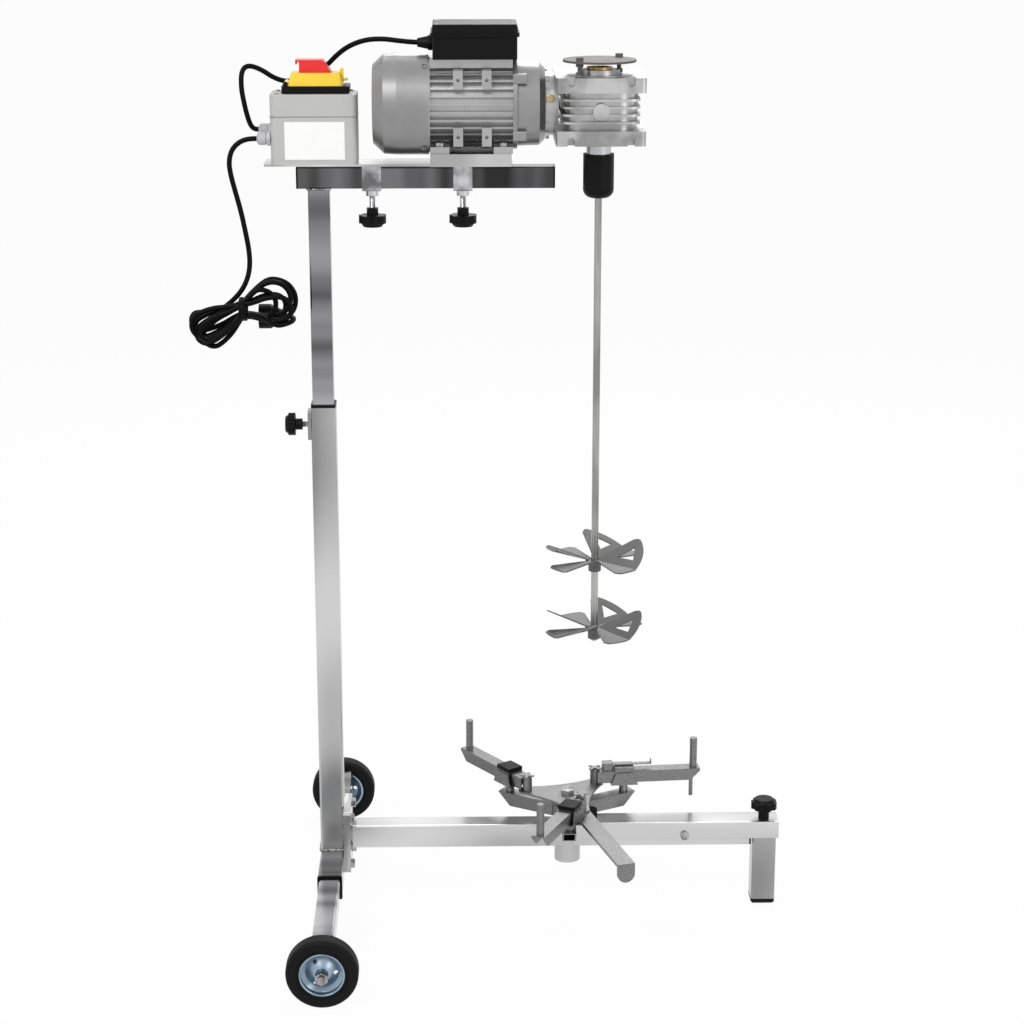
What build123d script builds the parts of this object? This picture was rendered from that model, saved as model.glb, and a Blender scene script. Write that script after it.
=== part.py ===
from build123d import *
import os
from math import atan2, cos, degrees, pi, radians, sin, sqrt, tan

os.makedirs("parts", exist_ok=True)

# Honey stirrer: a geared stirring motor on a wheeled stand, with a self-centring bucket clamp.
# Sizes are in millimetres. Z is up from the floor, X runs along the base beam, Y across it.

# Fits
running_gap = 0.05
slide_gap = 0.1
seat_gap = 0.1
free_gap = 0.2

# Wheels and axle
wheel_dia = 100
wheel_width = 28
rim_dia = 64
rim_sheet = 3
hub_dia = 18
hub_length = 34
track = 650
axle_dia = 10
axle_drop = 25
axle_nut_af = 17
axle_nut_height = 8
axle_head_height = 6.5
axle_tail = 4
leg_tube = 30
leg_wall = 2
leg_plate = 4
leg_plate_height = 56
leg_to_wheel = 7

# Square tubes of the stand
post_tube = 35
post_wall = 1.5
sleeve_wall = 2
sleeve_length = 215
tube_corner = 3
liner_lip = 4
liner_skirt = 15
mast_top = 765
beam_z = 113
beam_tube = 35
beam_wall = 2
flange_sheet = 5
flange_width = 80
flange_height = 95
flange_bolt_y = 30
flange_bolt_z = 36
flange_bolt_dia = 8
flange_bolt_af = 13
flange_bolt_head = 5.5

# Clamp boss, outer beam and foot
boss_reach = 348
boss_dia = 38
boss_wall = 3
boss_low = 70
boss_high = 134
beam_end_gap = 5
channel_start = 22
channel_sheet = 2.5
channel_side = 27
foot_reach = 640
foot_plug_height = 8
foot_plug_lip = 3
channel_tail = 3
cross_bolt_past_boss = 173
channel_knob_past_boss = 35
channel_knob_y = -4
channel_knob_dia = 18
channel_knob_height = 17
cross_bolt_dia = 8
foot_nut_dia = 14

# Inner mast, arm and its lock knobs
inner_tube = 30
inner_wall = 1.5
inner_low = 480
arm_low = 1073
arm_left = 28
arm_right = 322
cap_lip = 2.5
cap_plug = 12
knob_stud_dia = 8
knob_lobes = 7
small_knob_dia = 32
large_knob_dia = 38
knob_hub_dia = 16
mast_knob_drop = 27
mast_boss_sheet = 5
mast_boss_width = 25
mast_boss_height = 42

# Carriage on the arm
collar_wall = 3
left_collar_x = 73
right_collar_x = 198
collar_width = 26
collar_nut_dia = 18
collar_nut_height = 8
plate_sheet = 3
plate_left = 73
plate_right = 266
plate_front = 32
plate_back = 28
bracket_left = 154
bracket_right = 264
bracket_front = 60
bracket_back = 58
bracket_height = 17
bracket_sheet = 3
bracket_window = 66
collar_stud_length = 17

# Motor
motor_height = 61
motor_left = 154
motor_right = 266
motor_core_r = 55
motor_foot_depth = 110
motor_foot_length = 26
motor_foot_sheet = 9
lug_width = 13
lug_height = 25
lug_depth = 24
lug_z = 38
lug_hole_dia = 5
motor_fin_r = 62
fin_sheet = 2.6
fin_count = 36
rotor_r = 30
rotor_gap = 0.5
motor_shaft_dia = 14
cowl_r = 68.5
cowl_left = 76
cowl_lap = 4
cowl_sheet = 2
cowl_chamfer = 15
fan_r = 52
shield_r = 56
shield_right = 310
tie_block = 14
tie_block_y = 46
tie_block_z = 38
tie_block_length = 18
terminal_left = 155
terminal_right = 275
terminal_half = 46
terminal_seat = 63.5
terminal_base = 30
terminal_lid_height = 16.5
terminal_lid_slope = 6

# Worm gearbox
gearbox_left = 322
gearbox_width = 120
gearbox_height = 90
gear_centres = 50
gearbox_front = 58
gearbox_back = 42
rail_thick = 20
waist_inset = 7
slot_width = 9.7
slot_depth = 12
slot_spacing = 80
slot_reach = 14
panel_width = 43
panel_lift = 1.5
boss_ring_dia = 54
boss_ring_height = 6
worm_r = 11
worm_length = 46
wheel_tip_r = 38.6
wheel_face = 26
wheel_teeth = 30
hollow_shaft_dia = 35
hollow_bore_dia = 25
gear_cover_dia = 90
gear_cover_sheet = 5
neck_r = 43
guard_dia = 99
guard_sheet = 3
guard_lift = 16
guard_bolt_dia = 6
guard_bolt_offset = 28

# Chuck, shaft and impellers
adaptor_dia = 34
adaptor_height = 16
chuck_dia = 42
chuck_length = 60
chuck_core_dia = 22
shaft_dia = 10
shaft_low = 430
impeller_r = 72
impeller_sheet = 2
impeller_hub_dia = 18
impeller_hub_height = 13
impeller_pitch = 104
impeller_stagger = 14
blade_count = 4
blade_start = 26
blade_bend = 45.8
blade_lift = 19.7
blade_sweep = 63.6

# Control box
box_left = 63
box_right = 55
box_depth = 58
box_seam_height = 64
box_height = 94
box_wall = 3
box_corner = 8
switch_x = -1
switch_plate_length = 92
switch_length = 75
switch_width = 44
switch_base = 10
cover_height = 17
cover_wall = 2.5
cover_taper = 16
latch_width = 12
button_length = 44
button_width = 24
button_height = 17
gland_length = 21
gland_dia = 20
mains_gland_height = 34
motor_gland_height = 41
mains_gland_y = -20
motor_gland_y = 17

# Cords
mains_dia = 7
motor_lead_dia = 7
hank_reach = 100
hank_y = -67
hank_z = 912
hank_right_length = 74
hank_right_width = 62
hank_right_tilt = 12
hank_left_length = 90
hank_left_width = 48
hank_left_tilt = 30
hank_waist = 30
hank_depth = 32
plug_past_tie = 54
plug_z = 901
plug_dia = 34
plug_length = 38
plug_pin_dia = 4.8
plug_pin_length = 19
plug_pin_spacing = 19

# Bucket clamp
spider_high = 157
spider_bar = 20
spider_hub_dia = 44
spider_tip = 113
stem_dia = 30
stem_low = 82
pivot_dia = 8
centre_pivot_dia = 12
cam_radius = 61
post_radius = 98
cam_lead = 17
spider_angle = 29
cam_low = 170
cam_sheet = 3
lobe_r = 13
cam_waist_r = 36
cam_hub_dia = 30
lever_width = 25
lever_sheet = 5
lever_reach = 258
lever_tab = 28
grip_length = 149
grip_tail = 9
grip_width = 20
grip_height = 18
grip_sheet = 2
grip_low = 174
grip_pin_dia = 11
grip_pin_height = 46
lower_rod_dia = 6
lower_rod_length = 28
washer_length = 21
washer_width = 5
washer_sheet = 1.5
block_length = 16
block_width = 14
block_height = 12
strip_length = 74
strip_width = 8
strip_sheet = 1.5
guide_clearance = 7.5
sleeve_dia = 13
guide_length = 41
guide_top_length = 26
guide_sheet = 2
guide_play = 2.45
guide_offset = 1.05
insert_sheet = 1.5
insert_length = 29
insert_height = 6

# Places worked out from the sizes above
reach_right = foot_reach + beam_tube / 2 + channel_tail
reach_left = box_left + gland_length
mast_x = (reach_left - reach_right) / 2
mast_knob_z = mast_top - mast_knob_drop
block_start = sqrt(washer_length ** 2 + washer_width ** 2) / 2 + free_gap
axle_z = wheel_dia / 2
leg_z = axle_z + axle_drop
sleeve_high = leg_z + post_tube / 2
boss_x = mast_x + boss_reach
beam_low = beam_z - beam_tube / 2
beam_high = beam_z + beam_tube / 2
arm_z = arm_low + inner_tube / 2
arm_high = arm_low + inner_tube
plate_low = arm_high + slide_gap + collar_wall
plate_high = plate_low + plate_sheet
motor_z = plate_high + bracket_height + motor_height
box_seam = plate_high + box_seam_height
box_top = plate_high + box_height
mains_gland_z = plate_high + mains_gland_height
motor_gland_z = plate_high + motor_gland_height
gearbox_x = mast_x + gearbox_left + gearbox_width / 2
output_y = -gear_centres
gearbox_low = motor_z - gearbox_height / 2
gearbox_high = motor_z + gearbox_height / 2
plate_mid_y = (plate_back - plate_front) / 2
plate_depth = plate_back + plate_front


def finish(builder, node):
    """Label one finished piece, or group of like pieces, and write it."""
    builder.part.label = node
    export_step(builder.part, f"parts/{node}.step")


def along_x(x, y, z):
    """Plane whose normal runs along +X, with local x along +Y and local y along +Z."""
    return Plane(origin=(x, y, z), x_dir=(0, 1, 0), z_dir=(1, 0, 0))


def along_y(x, y, z):
    """Plane whose normal runs along +Y, with local x along +X and local y along -Z."""
    return Plane(origin=(x, y, z), x_dir=(1, 0, 0), z_dir=(0, 1, 0))


def along_z(x, y, z, angle=0.0):
    """Plane whose normal runs up, with local x turned by an angle about it."""
    return Plane(origin=(x, y, z), x_dir=(cos(radians(angle)), sin(radians(angle)), 0), z_dir=(0, 0, 1))


def polar(radius, angle):
    """Point at a radius and an angle in degrees."""
    return (radius * cos(radians(angle)), radius * sin(radians(angle)))


def square_ring(outer, inner, corner):
    """Sketch of a square tube's section in the active sketch."""
    RectangleRounded(outer, outer, corner)
    RectangleRounded(inner, inner, max(corner - (outer - inner) / 2, 0.5), mode=Mode.SUBTRACT)


def square_tube(plane, size, wall, length):
    """A straight length of square tube that starts on a plane."""
    with BuildPart() as tube:
        with BuildSketch(plane):
            square_ring(size, size - 2 * wall, tube_corner)
        extrude(amount=length)
    return tube


def star_knob(plane, head_dia, head_depth, hub_length, stud_length):
    """Lobed knob: the plane lies where the stud enters the hub, and the head points along its normal."""
    head_r = head_dia / 2
    with BuildPart() as knob:
        with BuildSketch(plane.offset(-stud_length)):
            Circle(knob_stud_dia / 2)
        extrude(amount=stud_length)
        with BuildSketch(plane):
            Circle(knob_hub_dia / 2)
        extrude(amount=hub_length)
        with BuildSketch(plane.offset(hub_length)):
            Circle(head_r)
            with PolarLocations(head_r * 1.12, knob_lobes):
                Circle(head_r * 0.26, mode=Mode.SUBTRACT)
        extrude(amount=head_depth * 0.7)
        with BuildSketch(plane.offset(hub_length + head_depth * 0.7)):
            Circle(head_r * 0.86)
        extrude(amount=head_depth * 0.3, taper=35)
    return knob


# Wheels: a rubber tyre on a pressed rim that runs on the axle bolt
def wheel_plane(side):
    return Plane(origin=(mast_x, side * track / 2, axle_z), x_dir=(1, 0, 0), z_dir=(0, 0, 1))


def make_tyre(side):
    radius = wheel_dia / 2
    band = radius - rim_dia / 2
    with BuildPart() as tyre:
        with BuildSketch(wheel_plane(side)) as section:
            with Locations((rim_dia / 2 + band / 2, 0)):
                Rectangle(band, wheel_width)
            fillet(section.vertices().group_by(Axis.X)[-1], 6)
            with Locations((rim_dia / 2 + 3, wheel_width / 2), (rim_dia / 2 + 3, -wheel_width / 2)):
                Circle(1.2, mode=Mode.SUBTRACT)
        revolve(axis=Axis((mast_x, side * track / 2, axle_z), (0, 1, 0)))
    return tyre


def make_rim(side):
    bore_r = axle_dia / 2 + running_gap
    seat_r = rim_dia / 2
    dish = [(hub_dia / 2 - 1, 10), (hub_dia / 2 + 3, 8), (seat_r - 9, 1), (seat_r - 2, 6)]
    back = [(radius, out - rim_sheet) for radius, out in reversed(dish)]
    roll_r = 1.7
    with BuildPart() as rim:
        with BuildSketch(wheel_plane(side)):
            with Locations(((bore_r + hub_dia / 2) / 2, 0)):
                Rectangle(hub_dia / 2 - bore_r, hub_length)
            with Locations((seat_r - rim_sheet / 2, 0)):
                Rectangle(rim_sheet, wheel_width - 4)
            with BuildLine():
                Polyline(*[(radius, side * out) for radius, out in dish + back], close=True)
            make_face()
            with Locations((seat_r - roll_r, side * (wheel_width / 2 - roll_r))):
                Circle(roll_r)
        revolve(axis=Axis((mast_x, side * track / 2, axle_z), (0, 1, 0)))
        with BuildSketch(along_y(mast_x, side * track / 2 - wheel_width, axle_z)):
            with PolarLocations(seat_r * 0.58, 3):
                Circle(3)
        extrude(amount=2 * wheel_width, mode=Mode.SUBTRACT)
    return rim


for side, name in ((-1, "front"), (1, "rear")):
    finish(make_tyre(side), f"{name}_tyre")
    finish(make_rim(side), f"{name}_rim")

# Axle tube with an end plate that carries each axle bolt below it
leg_half = track / 2 - hub_length / 2 - leg_to_wheel - leg_plate
with BuildPart() as axle_tube:
    with BuildSketch(along_y(mast_x, -leg_half, leg_z)):
        square_ring(leg_tube, leg_tube - 2 * leg_wall, tube_corner)
    extrude(amount=2 * leg_half)
    for side in (-1, 1):
        plate_y = leg_half if side > 0 else -leg_half - leg_plate
        with BuildSketch(along_y(mast_x, plate_y, leg_z + leg_tube / 2 - leg_plate_height / 2)):
            RectangleRounded(leg_tube, leg_plate_height, 5)
            with Locations((0, leg_z + leg_tube / 2 - leg_plate_height / 2 - axle_z)):
                Circle(axle_dia / 2 + seat_gap / 2, mode=Mode.SUBTRACT)
        extrude(amount=leg_plate)
finish(axle_tube, "axle_tube")

# Cross sleeve under the mast
cross_sleeve = square_tube(along_y(mast_x, -sleeve_length / 2, leg_z), post_tube, sleeve_wall, sleeve_length)
finish(cross_sleeve, "cross_sleeve")

# Outer mast with the threaded plate of its lock knob
with BuildPart() as mast_outer:
    with BuildSketch(along_z(mast_x, 0, sleeve_high)):
        square_ring(post_tube, post_tube - 2 * post_wall, tube_corner)
    extrude(amount=mast_top - sleeve_high)
    with BuildSketch(along_x(mast_x - post_tube / 2 - mast_boss_sheet, 0, mast_knob_z)):
        RectangleRounded(mast_boss_width, mast_boss_height, 3)
    extrude(amount=mast_boss_sheet)
    with BuildSketch(along_x(mast_x - post_tube / 2 - mast_boss_sheet, 0, mast_knob_z)):
        Circle(knob_stud_dia / 2 + running_gap)
    extrude(amount=mast_boss_sheet + post_wall + 1, mode=Mode.SUBTRACT)
finish(mast_outer, "mast_outer")

# Flange pair that joins the beam to the mast
flange_x = mast_x + post_tube / 2


def flange_sketch():
    RectangleRounded(flange_width, flange_height, 4)
    with GridLocations(2 * flange_bolt_y, 2 * flange_bolt_z, 2, 2):
        Circle(flange_bolt_dia / 2 + seat_gap, mode=Mode.SUBTRACT)


with BuildPart() as mast_flange:
    with BuildSketch(along_x(flange_x, 0, beam_z)):
        flange_sketch()
    extrude(amount=flange_sheet)
finish(mast_flange, "mast_flange")

beam_start = flange_x + 2 * flange_sheet
with BuildPart() as base_beam:
    with BuildSketch(along_x(flange_x + flange_sheet, 0, beam_z)):
        flange_sketch()
    extrude(amount=flange_sheet)
    with BuildSketch(along_x(beam_start, 0, beam_z)):
        square_ring(beam_tube, beam_tube - 2 * beam_wall, tube_corner)
    extrude(amount=boss_x - beam_start)
    with BuildSketch(along_z(boss_x, 0, boss_low)):
        Circle(boss_dia / 2)
    extrude(amount=boss_high - boss_low, mode=Mode.SUBTRACT)
finish(base_beam, "base_beam")

# Clamp boss between the two lengths of beam
with BuildPart() as clamp_boss:
    with BuildSketch(along_z(boss_x, 0, boss_low)):
        Circle(boss_dia / 2)
        Circle(boss_dia / 2 - boss_wall, mode=Mode.SUBTRACT)
    extrude(amount=boss_high - boss_low)
finish(clamp_boss, "clamp_boss")

outer_beam_end = mast_x + foot_reach - beam_tube / 2 - beam_end_gap
cross_bolt_x = boss_x + cross_bolt_past_boss
with BuildPart() as outer_beam:
    with BuildSketch(along_x(boss_x, 0, beam_z)):
        square_ring(beam_tube, beam_tube - 2 * beam_wall, tube_corner)
    extrude(amount=outer_beam_end - boss_x)
    with BuildSketch(along_z(boss_x, 0, boss_low)):
        Circle(boss_dia / 2)
    extrude(amount=boss_high - boss_low, mode=Mode.SUBTRACT)
    with BuildSketch(along_y(cross_bolt_x, -beam_tube, beam_z)):
        Circle(cross_bolt_dia / 2 + seat_gap)
    extrude(amount=2 * beam_tube, mode=Mode.SUBTRACT)
finish(outer_beam, "outer_beam")

# Inverted channel that carries the foot past the end of the beam
channel_inner = beam_tube + 2 * seat_gap
channel_width = channel_inner + 2 * channel_sheet
channel_left = boss_x + channel_start
channel_right = mast_x + reach_right
channel_low = beam_high - channel_side + channel_sheet + seat_gap
channel_high = beam_high + channel_sheet + seat_gap
foot_x = mast_x + foot_reach
with BuildPart() as foot_channel:
    with BuildSketch(along_x(channel_left, 0, (channel_low + channel_high) / 2)) as section:
        RectangleRounded(channel_width, channel_side, 2.5)
        with Locations((0, -channel_sheet - 5)):
            Rectangle(channel_inner, channel_side + 10, mode=Mode.SUBTRACT)
    extrude(amount=channel_right - channel_left)
    with BuildSketch(along_y(cross_bolt_x, -channel_width, beam_z)):
        Circle(cross_bolt_dia / 2 + seat_gap)
    extrude(amount=2 * channel_width, mode=Mode.SUBTRACT)
    for x, y in ((foot_x, 0), (boss_x + channel_knob_past_boss, channel_knob_y)):
        with BuildSketch(along_z(x, y, channel_low)):
            Circle(knob_stud_dia / 2 + running_gap)
        extrude(amount=channel_side + 5, mode=Mode.SUBTRACT)
finish(foot_channel, "foot_channel")

# Foot post, drawn up into the channel by the knob, with a cross dowel that takes the stud
with BuildPart() as foot_post:
    with BuildSketch(along_z(foot_x, 0, foot_plug_height)):
        square_ring(beam_tube, beam_tube - 2 * beam_wall, tube_corner)
    extrude(amount=beam_high - foot_plug_height)
    with BuildSketch(along_y(foot_x, -beam_tube / 2, beam_z - 4)):
        Circle(foot_nut_dia / 2)
    extrude(amount=beam_tube)
    with BuildSketch(along_z(foot_x, 0, beam_z - 4 - foot_nut_dia)):
        Circle(knob_stud_dia / 2 + running_gap)
    extrude(amount=2 * beam_tube, mode=Mode.SUBTRACT)
finish(foot_post, "foot_post")

plug_skirt = beam_tube - 2 * beam_wall - 2 * seat_gap
with BuildPart() as foot_plug:
    with BuildSketch(along_z(foot_x, 0, 0)) as sole:
        RectangleRounded(beam_tube, beam_tube, tube_corner)
    extrude(amount=foot_plug_height)
    chamfer(foot_plug.faces().sort_by(Axis.Z)[0].edges(), foot_plug_lip)
    with BuildSketch(along_z(foot_x, 0, foot_plug_height)):
        RectangleRounded(plug_skirt, plug_skirt, 1)
    extrude(amount=cap_plug)
finish(foot_plug, "foot_plug")

knob_floor = channel_high + 0.5
foot_knob = star_knob(along_z(foot_x, 0, knob_floor), large_knob_dia, 15, 14, knob_floor - beam_z + 6)
finish(foot_knob, "foot_knob")

# Small knob that presses the channel down on the beam beside the boss
channel_knob_x = boss_x + channel_knob_past_boss
channel_stud_low = beam_high + seat_gap
with BuildPart() as channel_knob:
    with BuildSketch(along_z(channel_knob_x, channel_knob_y, channel_stud_low)):
        Circle(knob_stud_dia / 2)
    extrude(amount=knob_floor - channel_stud_low)
    with BuildSketch(along_z(channel_knob_x, channel_knob_y, knob_floor)):
        Circle(channel_knob_dia / 2)
        with PolarLocations(channel_knob_dia / 2 + 1, 10):
            Circle(1.8, mode=Mode.SUBTRACT)
    extrude(amount=channel_knob_height)
    chamfer(channel_knob.faces().sort_by(Axis.Z)[-1].edges(), 1)
finish(channel_knob, "channel_knob")

# Black liners: sleeve ends, mast top, boss bush and outer beam end
boss_bore_r = boss_dia / 2 - boss_wall
with BuildPart() as frame_liners:
    for start in (-sleeve_length / 2 - liner_lip, sleeve_length / 2):
        with BuildSketch(along_y(mast_x, start, leg_z)):
            square_ring(post_tube + 1, leg_tube + 2 * seat_gap, tube_corner)
        extrude(amount=liner_lip)
    with BuildSketch(along_z(mast_x, 0, mast_top)):
        square_ring(post_tube, inner_tube + 2 * slide_gap, tube_corner)
    extrude(amount=liner_lip)
    with BuildSketch(along_z(mast_x, 0, mast_top - liner_skirt)):
        square_ring(post_tube - 2 * post_wall - seat_gap, inner_tube + 2 * slide_gap, 1.5)
    extrude(amount=liner_skirt)
    with BuildSketch(along_z(boss_x, 0, boss_high)):
        Circle(boss_dia / 2)
        Circle(stem_dia / 2 + seat_gap, mode=Mode.SUBTRACT)
    extrude(amount=spider_high - spider_bar - boss_high)
    with BuildSketch(along_z(boss_x, 0, boss_high - liner_skirt)):
        Circle(boss_bore_r - seat_gap)
        Circle(stem_dia / 2 + seat_gap, mode=Mode.SUBTRACT)
    extrude(amount=liner_skirt)
    with BuildSketch(along_x(outer_beam_end, 0, beam_z)):
        RectangleRounded(beam_tube, beam_tube, tube_corner)
    extrude(amount=cap_lip)
    with BuildSketch(along_x(outer_beam_end - cap_plug, 0, beam_z)):
        RectangleRounded(plug_skirt, plug_skirt, 1)
    extrude(amount=cap_plug)
finish(frame_liners, "frame_liners")


# Fasteners of the frame
def hexagon(across_flats):
    RegularPolygon(across_flats / 2, 6, major_radius=False, rotation=30)


with BuildPart() as frame_bolts:
    for y in (-flange_bolt_y, flange_bolt_y):
        for z in (beam_z - flange_bolt_z, beam_z + flange_bolt_z):
            with BuildSketch(along_x(flange_x, y, z)):
                Circle(flange_bolt_dia / 2)
            extrude(amount=2 * flange_sheet)
            with BuildSketch(along_x(beam_start, y, z)):
                hexagon(flange_bolt_af)
            extrude(amount=flange_bolt_head)
    spacer = track / 2 - hub_length / 2 - leg_half - leg_plate - free_gap
    shank = leg_plate + spacer + 2 * free_gap + hub_length + axle_nut_height + axle_tail
    for side in (-1, 1):
        inner = Plane(origin=(mast_x, side * leg_half, axle_z), x_dir=(1, 0, 0), z_dir=(0, side, 0))
        with BuildSketch(inner.offset(-axle_head_height)):
            hexagon(axle_nut_af)
        extrude(amount=axle_head_height)
        with BuildSketch(inner):
            Circle(axle_dia / 2)
        extrude(amount=shank)
        with BuildSketch(inner.offset(leg_plate)):
            Circle(hub_dia / 2)
        extrude(amount=spacer)
        with BuildSketch(inner.offset(shank - axle_tail - axle_nut_height)):
            hexagon(axle_nut_af)
        extrude(amount=axle_nut_height)
    with BuildSketch(along_y(cross_bolt_x, -channel_width / 2, beam_z)):
        Circle(cross_bolt_dia / 2)
    extrude(amount=channel_width)
    with BuildSketch(along_y(cross_bolt_x, -channel_width / 2 - 4, beam_z)):
        Circle(cross_bolt_dia * 0.8)
    extrude(amount=4)
    with BuildSketch(along_y(cross_bolt_x, channel_width / 2, beam_z)):
        hexagon(flange_bolt_af)
    extrude(amount=flange_bolt_head)
finish(frame_bolts, "frame_bolts")

# Inner mast with the arm on top of it
inner_mast = square_tube(along_z(mast_x, 0, inner_low), inner_tube, inner_wall, arm_low - inner_low)
finish(inner_mast, "mast_inner")
arm_tube = square_tube(along_x(mast_x - arm_left, 0, arm_z), inner_tube, inner_wall, arm_left + arm_right)
finish(arm_tube, "arm_tube")
with BuildPart() as arm_caps:
    cap_skirt = inner_tube - 2 * inner_wall - 2 * seat_gap
    for end, way in ((mast_x - arm_left, -1), (mast_x + arm_right, 1)):
        lip = Plane(origin=(end, 0, arm_z), x_dir=(0, 1, 0), z_dir=(way, 0, 0))
        with BuildSketch(lip):
            RectangleRounded(inner_tube, inner_tube, tube_corner)
        extrude(amount=cap_lip)
        with BuildSketch(lip.offset(-cap_plug)):
            RectangleRounded(cap_skirt, cap_skirt, 1)
        extrude(amount=cap_plug)
finish(arm_caps, "arm_caps")

# Mast lock knob, whose stud presses on the inner mast
mast_boss_x = mast_x - post_tube / 2 - mast_boss_sheet
mast_knob_gap = 8
mast_stud = mast_knob_gap + (mast_x - inner_tube / 2) - mast_boss_x - seat_gap
mast_knob = star_knob(Plane(origin=(mast_boss_x - mast_knob_gap, 0, mast_knob_z), x_dir=(0, 1, 0),
                            z_dir=(-1, 0, 0)), small_knob_dia, 14, 10, mast_stud)
finish(mast_knob, "mast_knob")

# Collars that slide on the arm, each with a weld nut for its knob
collar_hole = inner_tube + 2 * slide_gap
collar_size = collar_hole + 2 * collar_wall
collar_low = arm_z - collar_size / 2
collar_xs = (mast_x + left_collar_x, mast_x + right_collar_x)
with BuildPart() as carriage_collars:
    for x in collar_xs:
        with BuildSketch(along_x(x - collar_width / 2, 0, arm_z)):
            square_ring(collar_size, collar_hole, tube_corner)
        extrude(amount=collar_width)
        with BuildSketch(along_z(x, 0, collar_low - collar_nut_height)):
            Circle(collar_nut_dia / 2)
        extrude(amount=collar_nut_height + 0.5)
        with BuildSketch(along_z(x, 0, collar_low - collar_nut_height)):
            Circle(knob_stud_dia / 2 + running_gap)
        extrude(amount=collar_nut_height + collar_wall + 0.5, mode=Mode.SUBTRACT)
finish(carriage_collars, "carriage_collars")
for x, name in zip(collar_xs, ("left", "right")):
    knob_z = collar_low - collar_nut_height - collar_stud_length
    downward = Plane(origin=(x, 0, knob_z), x_dir=(1, 0, 0), z_dir=(0, 0, -1))
    knob = star_knob(downward, large_knob_dia, 16, 10, arm_low - seat_gap - knob_z)
    finish(knob, f"{name}_collar_knob")

# Carriage plate with the folded bracket that raises the motor's feet
bracket_mid_x = mast_x + (bracket_left + bracket_right) / 2
bracket_mid_y = (bracket_back - bracket_front) / 2
bracket_length = bracket_right - bracket_left
bracket_depth = bracket_front + bracket_back
bracket_high = plate_high + bracket_height
with BuildPart() as carriage_plate:
    with BuildSketch(along_z(mast_x + (plate_right - plate_left) / 2, plate_mid_y, plate_low)):
        RectangleRounded(plate_left + plate_right, plate_depth, 4)
    extrude(amount=plate_sheet)
    with BuildSketch(along_z(bracket_mid_x, bracket_mid_y, plate_high)):
        Rectangle(bracket_length, bracket_depth)
        Rectangle(bracket_length - 2 * bracket_sheet, bracket_depth - 2 * bracket_sheet, mode=Mode.SUBTRACT)
    extrude(amount=bracket_height - bracket_sheet)
    with BuildSketch(along_z(bracket_mid_x, bracket_mid_y, bracket_high - bracket_sheet)):
        Rectangle(bracket_length, bracket_depth)
        Rectangle(bracket_length, bracket_window, mode=Mode.SUBTRACT)
    extrude(amount=bracket_sheet)
finish(carriage_plate, "carriage_plate")

# Motor housing: finned stator body with feet, side lugs, terminal seat and rear shield
motor_mid_x = mast_x + (motor_left + motor_right) / 2
motor_length = motor_right - motor_left
foot_z = bracket_high - motor_z
lug_xs = (mast_x + 192, mast_x + 230.5)
rotor_bore_r = rotor_r + rotor_gap
shaft_hole_r = motor_shaft_dia / 2 + running_gap
rear_shield = 6
with BuildPart() as motor_housing:
    with BuildSketch(along_x(mast_x + motor_left, 0, motor_z)):
        Circle(motor_core_r)
        with PolarLocations(motor_fin_r - 5, fin_count, start_angle=5):
            Rectangle(10, fin_sheet)
        with Locations((0, terminal_seat / 2 + 15)):
            Rectangle(terminal_half * 1.5, terminal_seat - 30)
    extrude(amount=motor_length)
    for foot_start in (mast_x + motor_left, mast_x + motor_right - motor_foot_length):
        with BuildSketch(along_x(foot_start, 0, motor_z + foot_z)):
            with Locations((0, motor_foot_sheet / 2)):
                Rectangle(motor_foot_depth, motor_foot_sheet)
            with Locations((0, 13)):
                Rectangle(motor_foot_depth * 0.62, 26)
        extrude(amount=motor_foot_length)
    for lug_x in lug_xs:
        with BuildSketch(along_x(lug_x - lug_width / 2, 0, motor_z)):
            for side in (-1, 1):
                with Locations((side * (motor_fin_r - lug_depth / 2), lug_z), (side * (motor_fin_r - lug_depth / 2), -lug_z)):
                    Rectangle(lug_depth, lug_height)
        extrude(amount=lug_width)
        with BuildSketch(along_y(lug_x, -motor_fin_r - 1, motor_z)):
            with Locations((0, -lug_z), (0, lug_z)):
                Circle(lug_hole_dia / 2)
        extrude(amount=14, mode=Mode.SUBTRACT)
    with BuildSketch(along_x(mast_x + motor_left - rear_shield, 0, motor_z)):
        Circle(cowl_r - cowl_sheet - seat_gap)
    extrude(amount=rear_shield)
    with BuildSketch(along_x(mast_x + motor_left, 0, motor_z)):
        Circle(rotor_bore_r)
    extrude(amount=motor_length, mode=Mode.SUBTRACT)
    with BuildSketch(along_x(mast_x + motor_left - rear_shield, 0, motor_z)):
        Circle(shaft_hole_r)
    extrude(amount=rear_shield, mode=Mode.SUBTRACT)
finish(motor_housing, "motor_housing")

# Fan cowl: a turned shell with a slotted end
cowl_x = mast_x + cowl_left
cowl_end = mast_x + motor_left - rear_shield + cowl_lap
with BuildPart() as motor_cowl:
    with BuildSketch(Plane(origin=(cowl_x, 0, motor_z), x_dir=(1, 0, 0), z_dir=(0, -1, 0))):
        with BuildLine():
            Polyline((0, 0), (0, cowl_r - cowl_chamfer), (cowl_chamfer, cowl_r - 1), (cowl_chamfer + 18, cowl_r),
                     (cowl_end - cowl_x, cowl_r),
                     (cowl_end - cowl_x, cowl_r - cowl_sheet), (cowl_chamfer + 5, cowl_r - cowl_sheet),
                     (cowl_sheet, cowl_r - cowl_chamfer - cowl_sheet / 2), (cowl_sheet, 0), close=True)
        make_face()
    revolve(axis=Axis((cowl_x, 0, motor_z), (1, 0, 0)))
    with BuildSketch(along_x(cowl_x - 1, 0, motor_z)):
        for ring_r, slots in ((22, 6), (36, 10), (48, 14)):
            with PolarLocations(ring_r, slots):
                SlotOverall(11, 5, rotation=90)
    extrude(amount=cowl_sheet + 2, mode=Mode.SUBTRACT)
finish(motor_cowl, "motor_cowl")

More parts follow.
